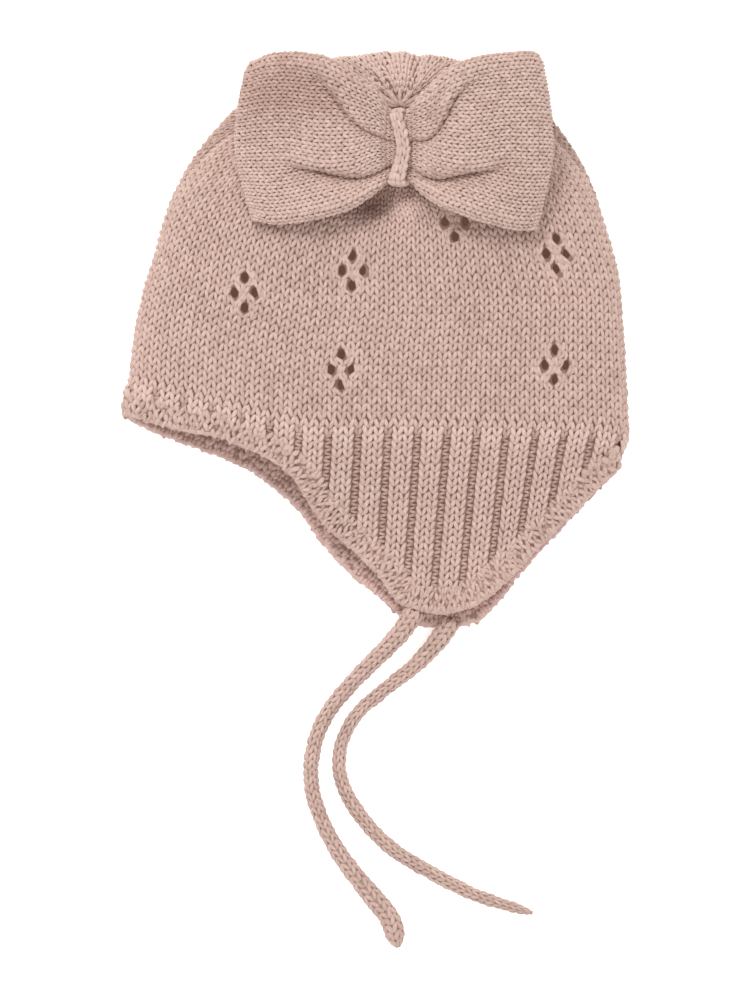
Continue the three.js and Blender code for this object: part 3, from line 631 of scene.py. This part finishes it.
def bandPoint(drop):
    b = startPoints
    s = np.abs(np.sin(startAngles))
    down = drop / hat["flapDrop"]
    low = lift["side"](down)
    high = np.where(nearColumns, lift["near"](down), ring["farLift"](0))
    z = hat["stuffed"] * (low + (high - low) * s ** np.where(nearColumns, 0.85, 1))
    z = z - np.where(nearColumns, dentAt(b[:, 0], b[:, 1]) * s, 0)
    x = b[:, 0] - lean(b[:, 0] / hat["halfWidth"]) * drop
    return np.stack([x, b[:, 1] - drop, np.maximum(z, 0)], -1)


bandCloth = Cloth(np.array([bandPoint(d) for d in np.linspace(0, bandDepth, bandSteps)])[::-1].copy())


def bandV(drop):  # the band's rows run upwards, as the crown's do
    return 1 - drop / bandDepth


def readRound(values):  # a table of values round the hat
    return lambda u: np.interp(u % 1, np.append(u0, 1), closed(values))


across = startPoints[:, 0] / hat["halfWidth"]
hemMaster = smoothRound(hat["flapDrop"] * np.where(nearColumns, nearDrop(across), farDrop(across)), 6)
hemSlope = np.gradient(hemMaster) / np.maximum(
    np.linalg.norm(np.roll(startPoints, -1, 0) - startPoints, axis=1), 0.3)
# the ribs end a little inside the border, however steep the hem is
borderDrop = hemMaster - hat["edgeDepth"] * 0.92 * np.sqrt(1 + hemSlope ** 2)
hemDrop = readRound(hemMaster)
ribEnd = readRound(smoothRound(np.maximum(borderDrop, 2.5), 8))

# The cord-like ties: each is knitted round, and leaves the border at a flap's tip.
tie = {
    "diameter": 7,
    "wales": 5,
    "row": 3.1,
    "core": 0.9,  # how far the plain core lies under the stitches' middles
    "sides": 18,
    # radii of the stitches' middles from the root to the tip, as the photo shows them
    "nearRadius": {"t": [0, 0.06, 0.15, 0.4, 0.6, 0.75, 0.9, 0.97, 1],
                   "radius": [3.7, 3.6, 3.2, 2.75, 2.75, 3.1, 3.75, 3.7, 0.9]},
    "farRadius": {"t": [0, 0.05, 0.15, 0.3, 0.55, 0.85, 0.93, 0.98, 1],
                  "radius": [3.9, 3.6, 2.7, 2.5, 2.65, 2.5, 2.2, 1.7, 0.8]},
    # both routes are the solid model's, but the far one starts a point sooner, inside the border
    "nearPath": [(16.0, -109.0, 9.8), (10.6, -117.0, 9.0), (1.6, -126.8, 5.0), (-8.0, -136.4, 3.5),
                 (-19.6, -150.8, 3.5), (-25.0, -165.2, 3.5), (-25.4, -179.6, 3.5), (-20.8, -194.0, 3.5),
                 (-12.8, -208.4, 3.5), (-1.6, -222.8, 3.5), (6.0, -232.4, 3.5), (9.2, -243.6, 3.5)],
    "farPath": [(30.4, -112.6, 4.0),
                (28.0, -117.0, 3.6), (24.4, -122.0, 3.5), (15.2, -131.6, 3.5), (2.8, -141.2, 3.5),
                (-7.6, -150.8, 3.5), (-13.6, -162.8, 3.5), (-14.0, -174.8, 3.5), (-7.2, -189.2, 3.5),
                (6.0, -203.6, 3.5), (21.2, -213.2, 3.5), (40.4, -222.8, 3.5), (62.8, -230.0, 3.5)],
}


def throughPoints(points, steps):  # an even walk along a smooth line through the points
    p = np.array(points, float)
    far = np.concatenate([[0], np.cumsum(np.linalg.norm(np.diff(p, axis=0), axis=1) ** 0.5)])
    slope = np.gradient(p, far, axis=0)
    t = np.linspace(0, far[-1], 600)
    i = np.clip(np.searchsorted(far, t) - 1, 0, len(p) - 2)
    h = (far[i + 1] - far[i])[:, None]
    fine = hermite((t - far[i])[:, None] / h, h, p[i], slope[i], p[i + 1], slope[i + 1])
    walked = walk(fine)
    return takenAt(np.linspace(0, walked[-1], steps), walked, fine), walked[-1]


def makeTie(name, node, path, radii):
    line, length = throughPoints(path, 161)
    along = unit(np.gradient(line, axis=0))
    side = unit(np.cross(along, [0, 0, 1]))
    up = np.cross(side, along)
    t = np.linspace(0, 1, len(line))
    radius = smoothCurve(radii["t"], radii["radius"])(t)
    turns = 2 * pi * np.arange(48) / 48
    turns = turns - 0.35 * np.sin(t * length / 27)[:, None]  # the wales wander a little round the tie
    ringPoints = (line[:, None] + side[:, None] * (radius[:, None] * np.cos(turns))[..., None] * 1.06
                  + up[:, None] * (radius[:, None] * np.sin(turns))[..., None] * 0.97)
    ringPoints[..., 2] = np.maximum(ringPoints[..., 2], 0.1)
    cloth = Cloth(ringPoints)
    rows = int(length / tie["row"])
    core = cloth.lifted(*evenGrid(0, 1, rows * 2, tie["sides"]), -tie["core"])
    points = np.concatenate([core.reshape(-1, 3), line[:1], line[-1:]])
    knit = Knit()
    knit.add(points, *tubeFaces(rows * 2, tie["sides"]), np.tile([0.5, 0, 0.4], (len(points), 1)))
    k, w = np.meshgrid(np.arange(rows), np.arange(tie["wales"]), indexing="ij")
    addStitches(knit, cloth, (w + 0.5) / tie["wales"], k / rows, 1 / tie["wales"], 1 / rows, legNear,
                yarnWidth=0.46, yarnThick=1.4)
    piece = knit.make(name, materials["stitch"], "tie", node)
    print(f"{name}: {length:.1f} mm long")


makeTie("tie_near_knit", "tie_near", tie["nearPath"], tie["nearRadius"])
makeTie("tie_far_knit", "tie_far", tie["farPath"], tie["farRadius"])

# Eyelets: four small holes make a diamond.
eyelets = {
    "near": [(-0.511, 0.359), (-0.09, 0.417), (-0.132, 0.156), (0.707, 0.169), (0.711, 0.462),
             (0.314, 0.546)],
    "far": [(-0.36, 0.26), (-0.3, 0.5), (0.1, 0.3), (0.33, 0.338), (0.52, 0.16),
            (0.56, 0.5)],
    "holes": [(0, 1), (-0.67, 0), (0.67, 0), (0, -1)],
    "diamondHalf": 6,
    "width": 2.8,
    "height": 4.0,
    "room": 1.55,  # from a hole's middle to its legs' middles, in half widths
    "reach": 3.4,  # how far aside legs still make way, in half widths
    "tall": 1.5,  # how far up and down they do, in half heights
    "sides": 10,
}


def nearestPlace(x, y, isNear):
    columns = slice(0, masterColumns // 2) if isNear else slice(masterColumns // 2, masterColumns)
    grid = crownCloth.points[:, columns]
    rows = int(len(grid) * 0.92)
    far = (grid[:rows, :, 0] - x) ** 2 + (grid[:rows, :, 1] - y) ** 2
    i, j = np.unravel_index(np.argmin(far), far.shape)
    return u0[columns][j], i / (len(grid) - 1)


holes = []  # each has u, v, half width in u, half height in v, x and y
for layer in ("near", "far"):
    for x, up in eyelets[layer]:
        for across, high in eyelets["holes"]:
            px = x * hat["halfWidth"] + across * eyelets["diamondHalf"]
            py = ribLine + up * hat["crownRise"] + high * eyelets["diamondHalf"]
            hu, hv = nearestPlace(px, py, layer == "near")
            wide = crownCloth.span(hu, hv, 0.01, 0) / 0.01
            tall = crownCloth.span(hu, hv, 0, 0.02) / 0.02
            holes.append((hu, hv, eyelets["width"] / 2 / wide, eyelets["height"] / 2 / tall, px, py))
holes = np.array(holes)
holeSize = 0.94 + 0.1 * dice.random(len(holes))
holeSlant = dice.normal(0, 0.12, len(holes))


def asideOfHoles(u, v):  # a whole leg passes on one side of each hole, and hugs it
    reach = eyelets["reach"]
    tall = eyelets["tall"]
    for (hu, hv, a, b, px, py), size, slant in zip(holes, holeSize, holeSlant):
        dv = (v - hv) / b
        du = (u - hu) / a - slant * dv
        side = np.where(du.mean(axis=1, keepdims=True) < 0, -1, 1)
        room = size * eyelets["room"] * np.sqrt(np.maximum(0, 1 - (dv / tall) ** 2)) * (1 - 0.22 * dv)
        own = du * side
        moved = np.maximum(room, room + own * (reach - room) / reach)
        close = (own < reach) & (own > -1.6) & (np.abs(dv) < tall)
        u = np.where(close, hu + (side * moved + slant * dv) * a, u)
    return u, v


def holePins():
    # upright pins, a little wider than the holes that show, cut through the ground
    points, walls, ends = [], [], []
    n = eyelets["sides"]
    turn = 2 * pi * (np.arange(n) + 0.5) / n
    for hu, hv, a, b, px, py in holes:
        z = crownCloth.at(np.array([hu]), np.array([hv]))[0][0, 2]
        x = px + eyelets["width"] / 2 * 1.1 * np.cos(turn)
        y = py + eyelets["height"] / 2 * 1.08 * np.sin(turn)
        at = len(points)
        for dz in (-8, 8):
            points.extend(zip(x * mm, y * mm, np.full(n, (z + dz) * mm)))
        for k in range(n):
            m = (k + 1) % n
            walls.append((at + k, at + m, at + n + m, at + n + k))
        ends.append(tuple(at + k for k in reversed(range(n))))
        ends.append(tuple(at + n + k for k in range(n)))
    mesh = bpy.data.meshes.new("pins")
    mesh.from_pydata(points, [], walls + ends)
    return inScene("pins", mesh)


crownKnit = {
    # first row, row after the last, and wales all the way round
    "zones": [(0, 40, 108), (40, 45, 90), (45, 50, 72), (50, 54, 54), (54, 58, 36)],
    # a piece's first row, the row after its last, and whether it is on the near layer
    "pieces": {"crown_stitches_low": (0, 20, True), "crown_stitches_mid": (20, 40, True),
               "crown_stitches_high": (40, 58, True), "crown_stitches_back": (0, 58, False)},
    # painted shade beside the knot, under the bow's edge, and painted light on the ridge below it: x, y,
    # width, height and tone
    "paintedShading": [(-2, 57, 10, 5, -2.2), (12, 53, 6, 9, 1.0)],
    "strands": 14,
}


def paintedShadingAt(points, paintedShading):
    # painted light and painted shade, as soft patches from a table
    x, y = points[..., 0], points[..., 1]
    return sum(tone * hump(x, a, wide, y, b, high) for a, b, wide, high, tone in paintedShading)


def drawTogether(knit):  # strands from the last row close the crown's top
    count = crownKnit["strands"]
    u = (np.arange(count) + 0.5) / count
    outer, normal = crownCloth.at(u, np.full(count, 0.972))
    rim = crownCloth.at(u, np.full(count, 1.0))[0]
    middle = rim.mean(axis=0) + np.array([0, 0, 1.2])
    line = np.stack([outer, rim + (0, 0, 0.7), 0.45 * rim + 0.55 * middle + (0, 0, 0.6),
                     0.1 * rim + 0.9 * middle], 1)
    up = np.broadcast_to(unit(normal + np.array([0, 0, 1.5]))[:, None], line.shape)
    girth = [1.1, 1, 0.85, 0.6] * (1 + wobble(0.1, count))
    addTubes(knit, line, up, 2.3 * girth, 1.7 * girth, 5, dice.random(count) + 0.5)


def makeCrown():
    ground = Knit()
    addShell(ground, crownCloth, *evenGrid(0, 1, 81, 120), hat["sunk"], hat["wall"], capped=True)
    piece = ground.make("crown_ground", materials["ground"], "crown", "crown")
    pins = holePins()
    cut = piece.modifiers.new("eyelets", "BOOLEAN")
    cut.object = pins
    cut.operation = "DIFFERENCE"
    cut.solver = "EXACT"
    bpy.context.view_layer.update()
    cutMesh = bpy.data.meshes.new_from_object(piece.evaluated_get(bpy.context.evaluated_depsgraph_get()))
    piece.modifiers.clear()
    piece.data = cutMesh
    bpy.data.objects.remove(pins)
    print(f"crown_ground after the eyelets: {len(cutMesh.polygons)} faces")

    rows = hat["rows"]
    for name, (firstRow, lastRow, isNear) in crownKnit["pieces"].items():
        knit = Knit()
        for start, stop, count in crownKnit["zones"]:
            a, b = max(start, firstRow), min(stop, lastRow)
            if a >= b:
                continue
            w = (np.arange(count) + 0.5) / count
            w = w[(w < 0.5) == isNear]
            kk, ww = np.meshgrid(np.arange(a, b), w, indexing="ij")
            if isNear:
                # pale carries painted shade beside the knot and painted light on the ridge below it
                pale = paintedShadingAt(crownCloth.at(ww, kk / rows)[0], crownKnit["paintedShading"])
            else:  # the far layer is painted paler where it shows above the bow: painted light on the gathers that the bow half hides
                pale = 1.3 * np.clip((kk - 38) / 6, 0, 1) * np.exp(-((ww - 0.76) / 0.14) ** 2)
            addStitches(knit, crownCloth, ww, kk / rows, 1 / count, 1 / rows, legNear if isNear else legFar,
                        push=asideOfHoles, tone=pale, yarnWidth=0.47 if isNear else 0.5)
        if not isNear:
            drawTogether(knit)
        knit.make(name, materials["stitch"], "crown")


makeCrown()
print("crown knitted")

# Ribs: two knit wales stand up, and one purl wale lies back between them.
rib = {
    "count": 36,
    "row": 2.9,
    "sunk": 1.2,
    "purlSunk": 2.1,
    "knit": [-0.089, 0.261],  # middles of the wales, in shares of a rib
    "purl": 0.586,
    "purlHalf": 0.165,
    "plainRows": 2,  # the ribs part this many rows below their top
    "bars": [(0.25, 0.2), (0.75, -0.2)],  # of a purl stitch: shift and tilt, in rows
}


def purlShare(u):  # 1 in a purl wale, 0 in the knit ones
    part = (u * rib["count"]) % 1
    return np.clip((rib["purlHalf"] - np.abs(part - rib["purl"])) / 0.05, 0, 1)


def makeRibs():
    ground = Knit()
    uu, vv = evenGrid(0, 1, 22, rib["count"] * 8)
    place = bandV(ribEnd(uu) * (1 - vv))
    outer = rib["sunk"] + (rib["purlSunk"] - rib["sunk"]) * purlShare(uu)
    addShell(ground, bandCloth, uu, place, outer, hat["ribWall"])
    ground.make("rib_ground", materials["ground"], "rib_band", "rib_band")

    knit = Knit()
    purl = Knit()
    dv = rib["row"] / bandDepth
    for r in range(rib["count"]):
        isNear = r < rib["count"] // 2
        for part in rib["knit"] + [rib["purl"]]:
            u = (r + part) / rib["count"]
            rows = int((float(ribEnd(u)) + 1.0) / rib["row"]) + 1
            drop = (np.arange(rows) + 1) * rib["row"]
            isPurl = part == rib["purl"]
            count = min(rows, rib["plainRows"]) if isPurl else rows
            first = np.exp(-((np.arange(count) - 1.3) / 0.8) ** 2)
            # the knit wales' first rows are painted paler, painted light on their raised tops, and the purl
            # wale's plain first rows are painted darker, painted shade in its groove
            addStitches(knit, bandCloth, np.full(count, u), bandV(drop[:count]), 0.35 / rib["count"], dv,
                        legNear if isNear else legFar, yarnWidth=0.47, yarnThick=1.7,
                        lower=first * 0.7 if isPurl else -0.15 - 0.5 * first,
                        tone=first * (-1.0 if isPurl else 1.4) + 0.35)
            if not isPurl:
                continue
            drop = drop[count:]
            rows = len(drop)
            # a purl stitch shows as two bars across the wale, one leaning each way
            stations = np.linspace(-1, 1, 5 if isNear else 3)
            bend = 1 - stations ** 2
            across = stations * rib["purlHalf"] / rib["count"]
            for shift, tilt in rib["bars"]:
                place = bandV(drop[:, None] - (shift + tilt * stations) * rib["row"])
                uu = u + across + wobble(0.0003, rows)
                sink = 1.25 + 1.2 * stations ** 2 + wobble(0.1, rows)
                p, n = bandCloth.at(uu, place)
                girth = (0.7 + 0.35 * bend) * (1 + wobble(0.06, rows))
                # the purl bars are painted darker: painted shade in the sunk purl wale
                addTubes(purl, p - n * sink[..., None], n, 1.5 * girth, 1.5 * girth, 5 if isNear else 4,
                         dice.random(rows) - 0.8)
    knit.make("rib_stitches", materials["stitch"], "rib_band")
    purl.make("purl_stitches", materials["stitch"], "rib_band")


makeRibs()
print("ribs knitted")

# Border: a chunky row picked up along the hem, with a chain of loops on its rim.
border = {
    "pitch": 3.5,
    "depth": 9.8,
    "rows": 4,
    "steps": 600,
    # the chain on its rim: shares of the pitch, shares of the depth, rise and girth
    "chain": {"go": [-0.62, -0.2, 0.2, 0.62], "up": [0.02, 0.08, 0.08, 0.02],
              "rise": [-1.5, -0.8, -0.8, -1.5], "girth": [0.8, 1.1, 1.1, 0.8]},
}


def makeBorder():
    u = np.arange(masterColumns * 2) / (masterColumns * 2)
    rim, normal = bandCloth.at(u, bandV(hemDrop(u)))
    rim = smoothRound(rim, 3)
    walked = walk(closed(rim))
    want = walked[-1] * np.arange(border["steps"]) / border["steps"]
    rim = takenAt(want, walked, closed(rim))
    normal = unit(takenAt(want, walked, closed(smoothRound(normal, 6))))
    along = unit(smoothRound(np.roll(rim, -1, 0) - np.roll(rim, 1, 0), 3))
    inward = unit(np.cross(along, normal))
    inward = np.where((inward[:, 1:2] < 0) & (np.abs(inward[:, 1:2]) > 0.05), -inward, inward)
    inward = unit(smoothRound(inward, 10))
    cloth = Cloth(rim[None] + inward[None] * np.linspace(0, border["depth"], 9)[:, None, None])

    ground = Knit()
    uu, vv = evenGrid(0.1, 1, 6, 300)
    outer = 0.45 + 0.6 * (1 - np.sin(pi * np.clip(vv, 0.1, 0.9)))
    addShell(ground, cloth, uu, vv, outer, hat["edgeWall"] - 0.9)
    ground.make("border_ground", materials["edge"], "hem_edging", "hem_edging")

    # lumpy rows of stitches on both faces, and a chain along the rim
    count = int(walked[-1] / border["pitch"])
    pitch = 1 / count
    inside = Cloth(cloth.points - cloth.normals * (hat["edgeWall"] - 0.4), -cloth.normals)
    pieces = {"border_stitches": (cloth, legNear, 1), "border_inner_stitches": (inside, legFar, -1)}
    for name, (face, leg, way) in pieces.items():
        knit = Knit()
        for k in range(border["rows"]):
            middles = (np.arange(count) + 0.5 * (k % 2)) / count + dice.normal(0, 0.0005, count)
            foot = 0.05 + 0.235 * k + dice.normal(0, 0.022, count)
            rise = dice.normal(0, 0.36, count) - 0.1
            addStitches(knit, face, middles, foot, pitch * way, 0.25, leg, yarnWidth=0.55, yarnThick=2.0,
                        lower=rise, loose=2.1)
        chain = {key: np.array(values)[None] for key, values in border["chain"].items()}
        go = chain["go"] * pitch + ((np.arange(count) + 0.5) / count)[:, None]
        up = chain["up"] + wobble(0.02, count)
        rise = chain["rise"] + wobble(0.15, count)
        p, n = face.at(go, up)
        girth = chain["girth"] * (1 + wobble(0.12, count))
        addTubes(knit, p + n * rise[..., None], n, 2.2 * girth, 2.0 * girth, 5, dice.random(count))
        knit.make(name, materials["stitch" if way > 0 else "inner"], "hem_edging")


makeBorder()
print("border knitted")

# Bow
bow = {
    "across": 0.098,
    "up": 0.736,
    "knotHalf": 12.8,
    "knotBulk": 5.8,
    "left": 64,
    "right": 59.2,
    "loopHalf": 34,
    "loopFull": 12.2,
    "wall": 2.6,
    "clear": 0.45,
    "foldDepth": 7.2,
    "overhang": 3.1,  # how far the cloth above a fold leans over it
    "bulge": 0.08,
    "wales": 24,
    "lines": 61,
    "row": 2.35,
    # the cloth sinks in the middle of the left loop, and a third as much in the right one
    "sag": {"deep": 3.6, "out": 0.57, "wide": 0.17, "across": 0.74, "high": 0.2},
    # and painted shade darkens its hollows and the cloth under its folds: x, y, width, height and tone
    "paintedShading": [(-34, 99, 25, 15, -1.4), (-17, 65.5, 14, 3.4, -1.1), (31, 64.5, 13, 3.2, -1.1),
              (26, 89, 6, 6, -0.7)],
}
wrap = {
    "wall": 2.2,
    "width": 6.4,
    "topIn": 0.3,  # narrower at the top and wider below
    "lowOut": 2.6,
    "slant": 1.5,
    "cornerIn": 1.9,
    "topUp": 1.1,
    "square": 0.34,  # 1 is round, and 0 has sharp corners
    "row": 3.6,
    "strandAside": [0.16, 0.17, 0.19, 0.22, 0.22],
}
leftLoop = {
    "out": [0, 0.09, 0.14, 0.23, 0.31, 0.42, 0.55, 0.75, 0.87, 0.96],
    "top": [0, 0.14, 0.42, 0.64, 0.77, 0.98, 1.14, 1.19, 1.16, 1.06],
    "low": [0, 0, 0.13, 0.31, 0.46, 0.59, 0.68, 0.77, 0.8, 0.77],
    "front": [0.56, 0.6, 0.75, 0.88, 0.96, 1, 0.92, 0.62, 0.41, 0.12],
    "back": [0, 0, -0.05, -0.06, -0.06, -0.08, -0.14, -0.3, -0.4, -0.5],
    "upper": [0.66, 0.65, 0.63, 0.66, 0.72, 0.82, 0.88, 0.88, 0.88, 0.88],
    "lower": [0.3, 0.26, 0.24, 0.25, 0.28, 0.31, 0.33, 0.34, 0.34, 0.34],
    "upperDeep": [0.4, 0.6, 0.9, 1, 1, 0.7, 0.2, 0, 0, 0],
    "lowerDeep": [0.4, 0.5, 0.7, 1, 1.15, 1.1, 0.85, 0.1, 0, 0],
}
rightLoop = {
    "out": [0, 0.09, 0.14, 0.21, 0.3, 0.4, 0.58, 0.8, 0.9, 0.96],
    "top": [0, 0.16, 0.35, 0.5, 0.74, 0.94, 1.11, 1.18, 1.21, 1.21],
    "low": [0, 0, 0.16, 0.3, 0.45, 0.55, 0.72, 0.87, 0.92, 0.94],
    "front": [0.56, 0.6, 0.76, 0.86, 0.96, 1, 0.86, 0.5, 0.32, 0.08],
    "back": [0, 0, -0.05, -0.06, -0.06, -0.08, -0.18, -0.36, -0.45, -0.52],
    "upper": [0.66, 0.63, 0.61, 0.63, 0.72, 0.83, 0.88, 0.88, 0.88, 0.88],
    "lower": [0.3, 0.26, 0.24, 0.25, 0.27, 0.3, 0.33, 0.34, 0.34, 0.34],
    "upperDeep": [0.4, 0.7, 1, 1.15, 1.05, 0.6, 0.15, 0, 0, 0],
    "lowerDeep": [0.4, 0.5, 0.7, 1, 1.15, 1.1, 0.7, 0, 0, 0],
}
loops = {"left": curvesOf(leftLoop, "out"), "right": curvesOf(rightLoop, "out")}
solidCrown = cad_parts["crown"].data
crownTree = BVHTree.FromPolygons([v.co for v in solidCrown.vertices],
                                 [p.vertices[:] for p in solidCrown.polygons])


def crownTop(x, y):
    best = -1
    for dx in (-3, 0, 3):
        for dy in (-3, 0, 3):
            hit = crownTree.ray_cast(Vector(((x + dx) * mm, (y + dy) * mm, 0.2)), Vector((0, 0, -1)))[0]
            if hit:
                best = max(best, hit.z / mm)
    return best


knotX = hat["halfWidth"] * bow["across"]
knotY = ribLine + hat["crownRise"] * bow["up"]
knotBack = crownTop(knotX, knotY) + wrap["wall"] + bow["clear"] + bow["wall"] / 2 + 0.65


def foldAt(across, t, out):  # each fold is steep on one side, and both edges roll down
    up = across - t["upper"](out)
    down = across - t["lower"](out)
    a = t["upperDeep"](out) * np.exp(-(up / np.where(up > 0, 0.032, 0.13)) ** 2)
    b = t["lowerDeep"](out) * np.exp(-(down / np.where(down > 0, 0.026, 0.14)) ** 2)
    roll = np.maximum(0, np.abs(across - 0.5) * 2 - 0.86) / 0.14
    return bow["foldDepth"] * (a + b + 0.42 * roll * roll)


def loopPoints(side, out, across, isFront):
    # a station of the strip's middle layer: across is an array from the low edge to the top one
    t = loops[side]
    growth = bow["loopHalf"] - bow["knotHalf"]
    top = knotY + bow["knotHalf"] + growth * t["top"](out)
    low = knotY - bow["knotHalf"] - growth * t["low"](out)
    bulge = 1 - bow["bulge"] + bow["bulge"] * np.sin(pi * across)
    x = knotX + (1 if side == "right" else -1) * bow[side] * out * bulge
    y = low + (top - low) * across
    if isFront:
        lean = (t["upperDeep"](out) * np.exp(-((across - t["upper"](out) - 0.035) / 0.042) ** 2)
                + t["lowerDeep"](out) * np.exp(-((across - t["lower"](out) - 0.03) / 0.036) ** 2))
        y = y - bow["overhang"] * lean
    z = knotBack + bow["loopFull"] * (t["front"](out) if isFront else t["back"](out)) + 0 * across
    if isFront and out < 0.12:
        z = knotBack + bow["knotBulk"] + bow["loopFull"] * (t["front"](out) - t["front"](0)) + 0 * across
    if isFront:
        sag = bow["sag"]
        sunk = sag["deep"] * hump(out, sag["out"], sag["wide"], across, sag["across"], sag["high"])
        z = z - foldAt(across, t, out) - (sunk if side == "left" else 0.35 * sunk)
    if out < 0.12:
        if not isFront:
            z = knotBack + 0.9 * np.abs(2 * across - 1) ** 3
    else:
        least = np.array([crownTop(a, b) for a, b in zip(x, y)]) + bow["wall"] / 2 + 0.6
        z = np.maximum(z, least + (bow["wall"] + 0.5 if isFront else 0))
    return np.stack([x, y, z], -1)


def evenLoops(strip, middle, steps):  # closed lines of points, at even steps along the middle one
    walked = walk(strip[:, middle])
    want = walked[-1] * np.arange(steps) / steps
    return np.array([takenAt(want, walked, strip[:, k]) for k in range(strip.shape[1])]), walked[-1]


def bowCloth():
    lines = bow["lines"]
    across = np.linspace(0, 1, 2 * lines - 1)
    stations = []
    for side in ("right", "left"):
        sign = 1 if side == "right" else -1
        front = [loopPoints(side, o, across, True) for o in np.linspace(0, 0.96, 41)]
        back = [loopPoints(side, o, across, False) for o in np.linspace(0.96, 0, 25)]
        end = []
        middle = (front[-1] + back[0]) / 2
        r = np.linalg.norm(front[-1] - back[0], axis=1) / 2
        for turn in np.linspace(0, pi, 9)[1:-1]:
            y = knotY + (middle[:, 1] - knotY) * (1 - 0.03 * np.sin(turn))
            end.append(np.stack([middle[:, 0] + sign * r * 0.9 * np.sin(turn), y,
                                 middle[:, 2] + r * np.cos(turn)], -1))
        half = front + end + back
        stations += half[:-1] if side == "right" else half[::-1][:-1]
    strip = np.array(stations)[::-1]  # so that the front's outside looks up
    # the wales share out each station's width evenly, folds and all
    reach = walk(strip, 1)
    reach = smoothRound(reach / reach[:, -1:], 3)
    want = np.linspace(0, 1, lines)
    strip = closed(np.array([takenAt(want, r, station) for r, station in zip(reach, strip)]))
    even, length = evenLoops(strip, lines // 2, 300)
    return Cloth(smoothRound(even, 2, 1)), length


def makeBow():
    cloth, length = bowCloth()
    ground = Knit()
    addShell(ground, cloth, *evenGrid(0.01, 0.99, 61, 150), 0.1, bow["wall"] / 2)
    ground.make("bow_ground", materials["ground"], "bow", "bow_loops")
    rows = int(length / bow["row"])
    k, w = np.meshgrid(np.arange(rows), np.arange(bow["wales"]), indexing="ij")
    u, v = k / rows, (w + 0.5) / bow["wales"]
    seen = cloth.at(u.ravel(), v.ravel())[1][:, 2] > -0.3
    lifted = Cloth(cloth.points + cloth.normals * bow["wall"] / 2, cloth.normals)
    # painted shade in the bow's hollows and under its folds
    paintedShade = paintedShadingAt(cloth.at(u, v)[0], bow["paintedShading"])
    for name, leg, keep in (("bow_stitches", legNear, seen), ("bow_back_stitches", legFar, ~seen)):
        knit = Knit()
        addStitches(knit, lifted, u, v, 1 / bow["wales"], 1 / rows, leg, yarnWidth=0.48, yarnThick=1.3,
                    alongU=True, keep=keep, tone=paintedShade)
        knit.make(name, materials["bow"], "bow")
    print(f"bow strip {length:.0f} mm round, {rows} rows")


def makeWrap():
    high = knotBack + bow["knotBulk"] + bow["wall"] / 2 + bow["clear"]
    low = knotBack - bow["wall"] / 2 - bow["clear"]
    half = bow["knotHalf"] + 0.9
    turn = (2 * pi * np.arange(96) / 96)[:, None]
    c, s = np.cos(turn), np.sin(turn)
    y0 = np.sign(c) * np.abs(c) ** wrap["square"]
    z0 = np.sign(s) * np.abs(s) ** wrap["square"]
    across = np.linspace(-0.5, 0.5, 9)
    edge = (2 * across) ** 4
    grow = wrap["wall"] * (1 - 0.3 * edge)
    wide = wrap["width"] - wrap["topIn"] * np.clip(y0, 0, 1) ** 3 + wrap["lowOut"] * np.clip(-y0, 0, 1) ** 2
    x = knotX + wide * across + wrap["slant"] * (np.cos(pi * y0) * np.clip(s * 2, 0, 1))
    y = knotY + (half + 0.55 * grow - wrap["cornerIn"] * edge) * y0 + wrap["topUp"] * (y0 > 0.5)
    z = (high + low) / 2 + ((high - low) / 2 + grow) * z0
    even, length = evenLoops(closed(np.stack([x, y, z], -1)), 4, 120)
    cloth = Cloth(even[:, ::-1].copy())  # so that its outside looks out
    ground = Knit()
    addShell(ground, cloth, *evenGrid(0.04, 0.96, 7, 60), 0.9, wrap["wall"])
    ground.make("wrap_ground", materials["ground"], "bow", "bow_wrap")
    knit = Knit()
    rows = int(length / wrap["row"])
    strand = dict(legNear, aside=wrap["strandAside"])
    for place, part, leg in ((0.68, 0.5, legNear), (0.24, 0.46, strand)):
        addStitches(knit, cloth, np.arange(rows) / rows, place, part, 1 / rows, leg, yarnWidth=0.54,
                    yarnThick=1.3, alongU=True)
    knit.make("wrap_stitches", materials["bow"], "bow")


makeBow()
makeWrap()
print("bow knitted")


# Floor and light
studio = {
    "floor": colour(252, 252, 252),
    "floorHalf": 4,
    "glow": 0.5,
    "world": 0.8,
    # place, size and power, in metres and watts
    "lamps": {"key": ((-0.5, 0.95, 1.25), 0.5, 13.2), "fill": ((0.5, -1.0, 1.3), 0.9, 5.2)},
    "aim": (0, -0.04, 0),
}


def makeStudio():
    mesh = bpy.data.meshes.new("floor")
    a = studio["floorHalf"]
    mesh.from_pydata([(-a, -a, 0), (a, -a, 0), (a, a, 0), (-a, a, 0)], [], [(0, 1, 2, 3)])
    floor = inScene("floor", mesh)
    material, wire = newMaterial("floor_paper")
    wire.surface({"Base Color": studio["floor"], "Roughness": 0.9, "Specular IOR Level": 0.1,
                  "Emission Color": (1, 1, 1, 1), "Emission Strength": studio["glow"]})
    mesh.materials.append(material)
    world = bpy.data.worlds.new("studio")
    world.use_nodes = True
    sky = world.node_tree.nodes["Background"].inputs
    sky[0].default_value = (1, 1, 1, 1)
    sky[1].default_value = studio["world"]
    bpy.context.scene.world = world
    for name, (place, size, power) in studio["lamps"].items():
        data = bpy.data.lights.new(name, "AREA")
        data.size = size
        data.energy = power
        lamp = inScene(name, data)
        lamp.location = place
        lamp.rotation_euler = (Vector(studio["aim"]) - Vector(place)).to_track_quat("-Z", "Y").to_euler()


makeStudio()
bpy.context.scene.view_settings.view_transform = "Standard"
print("studio ready")
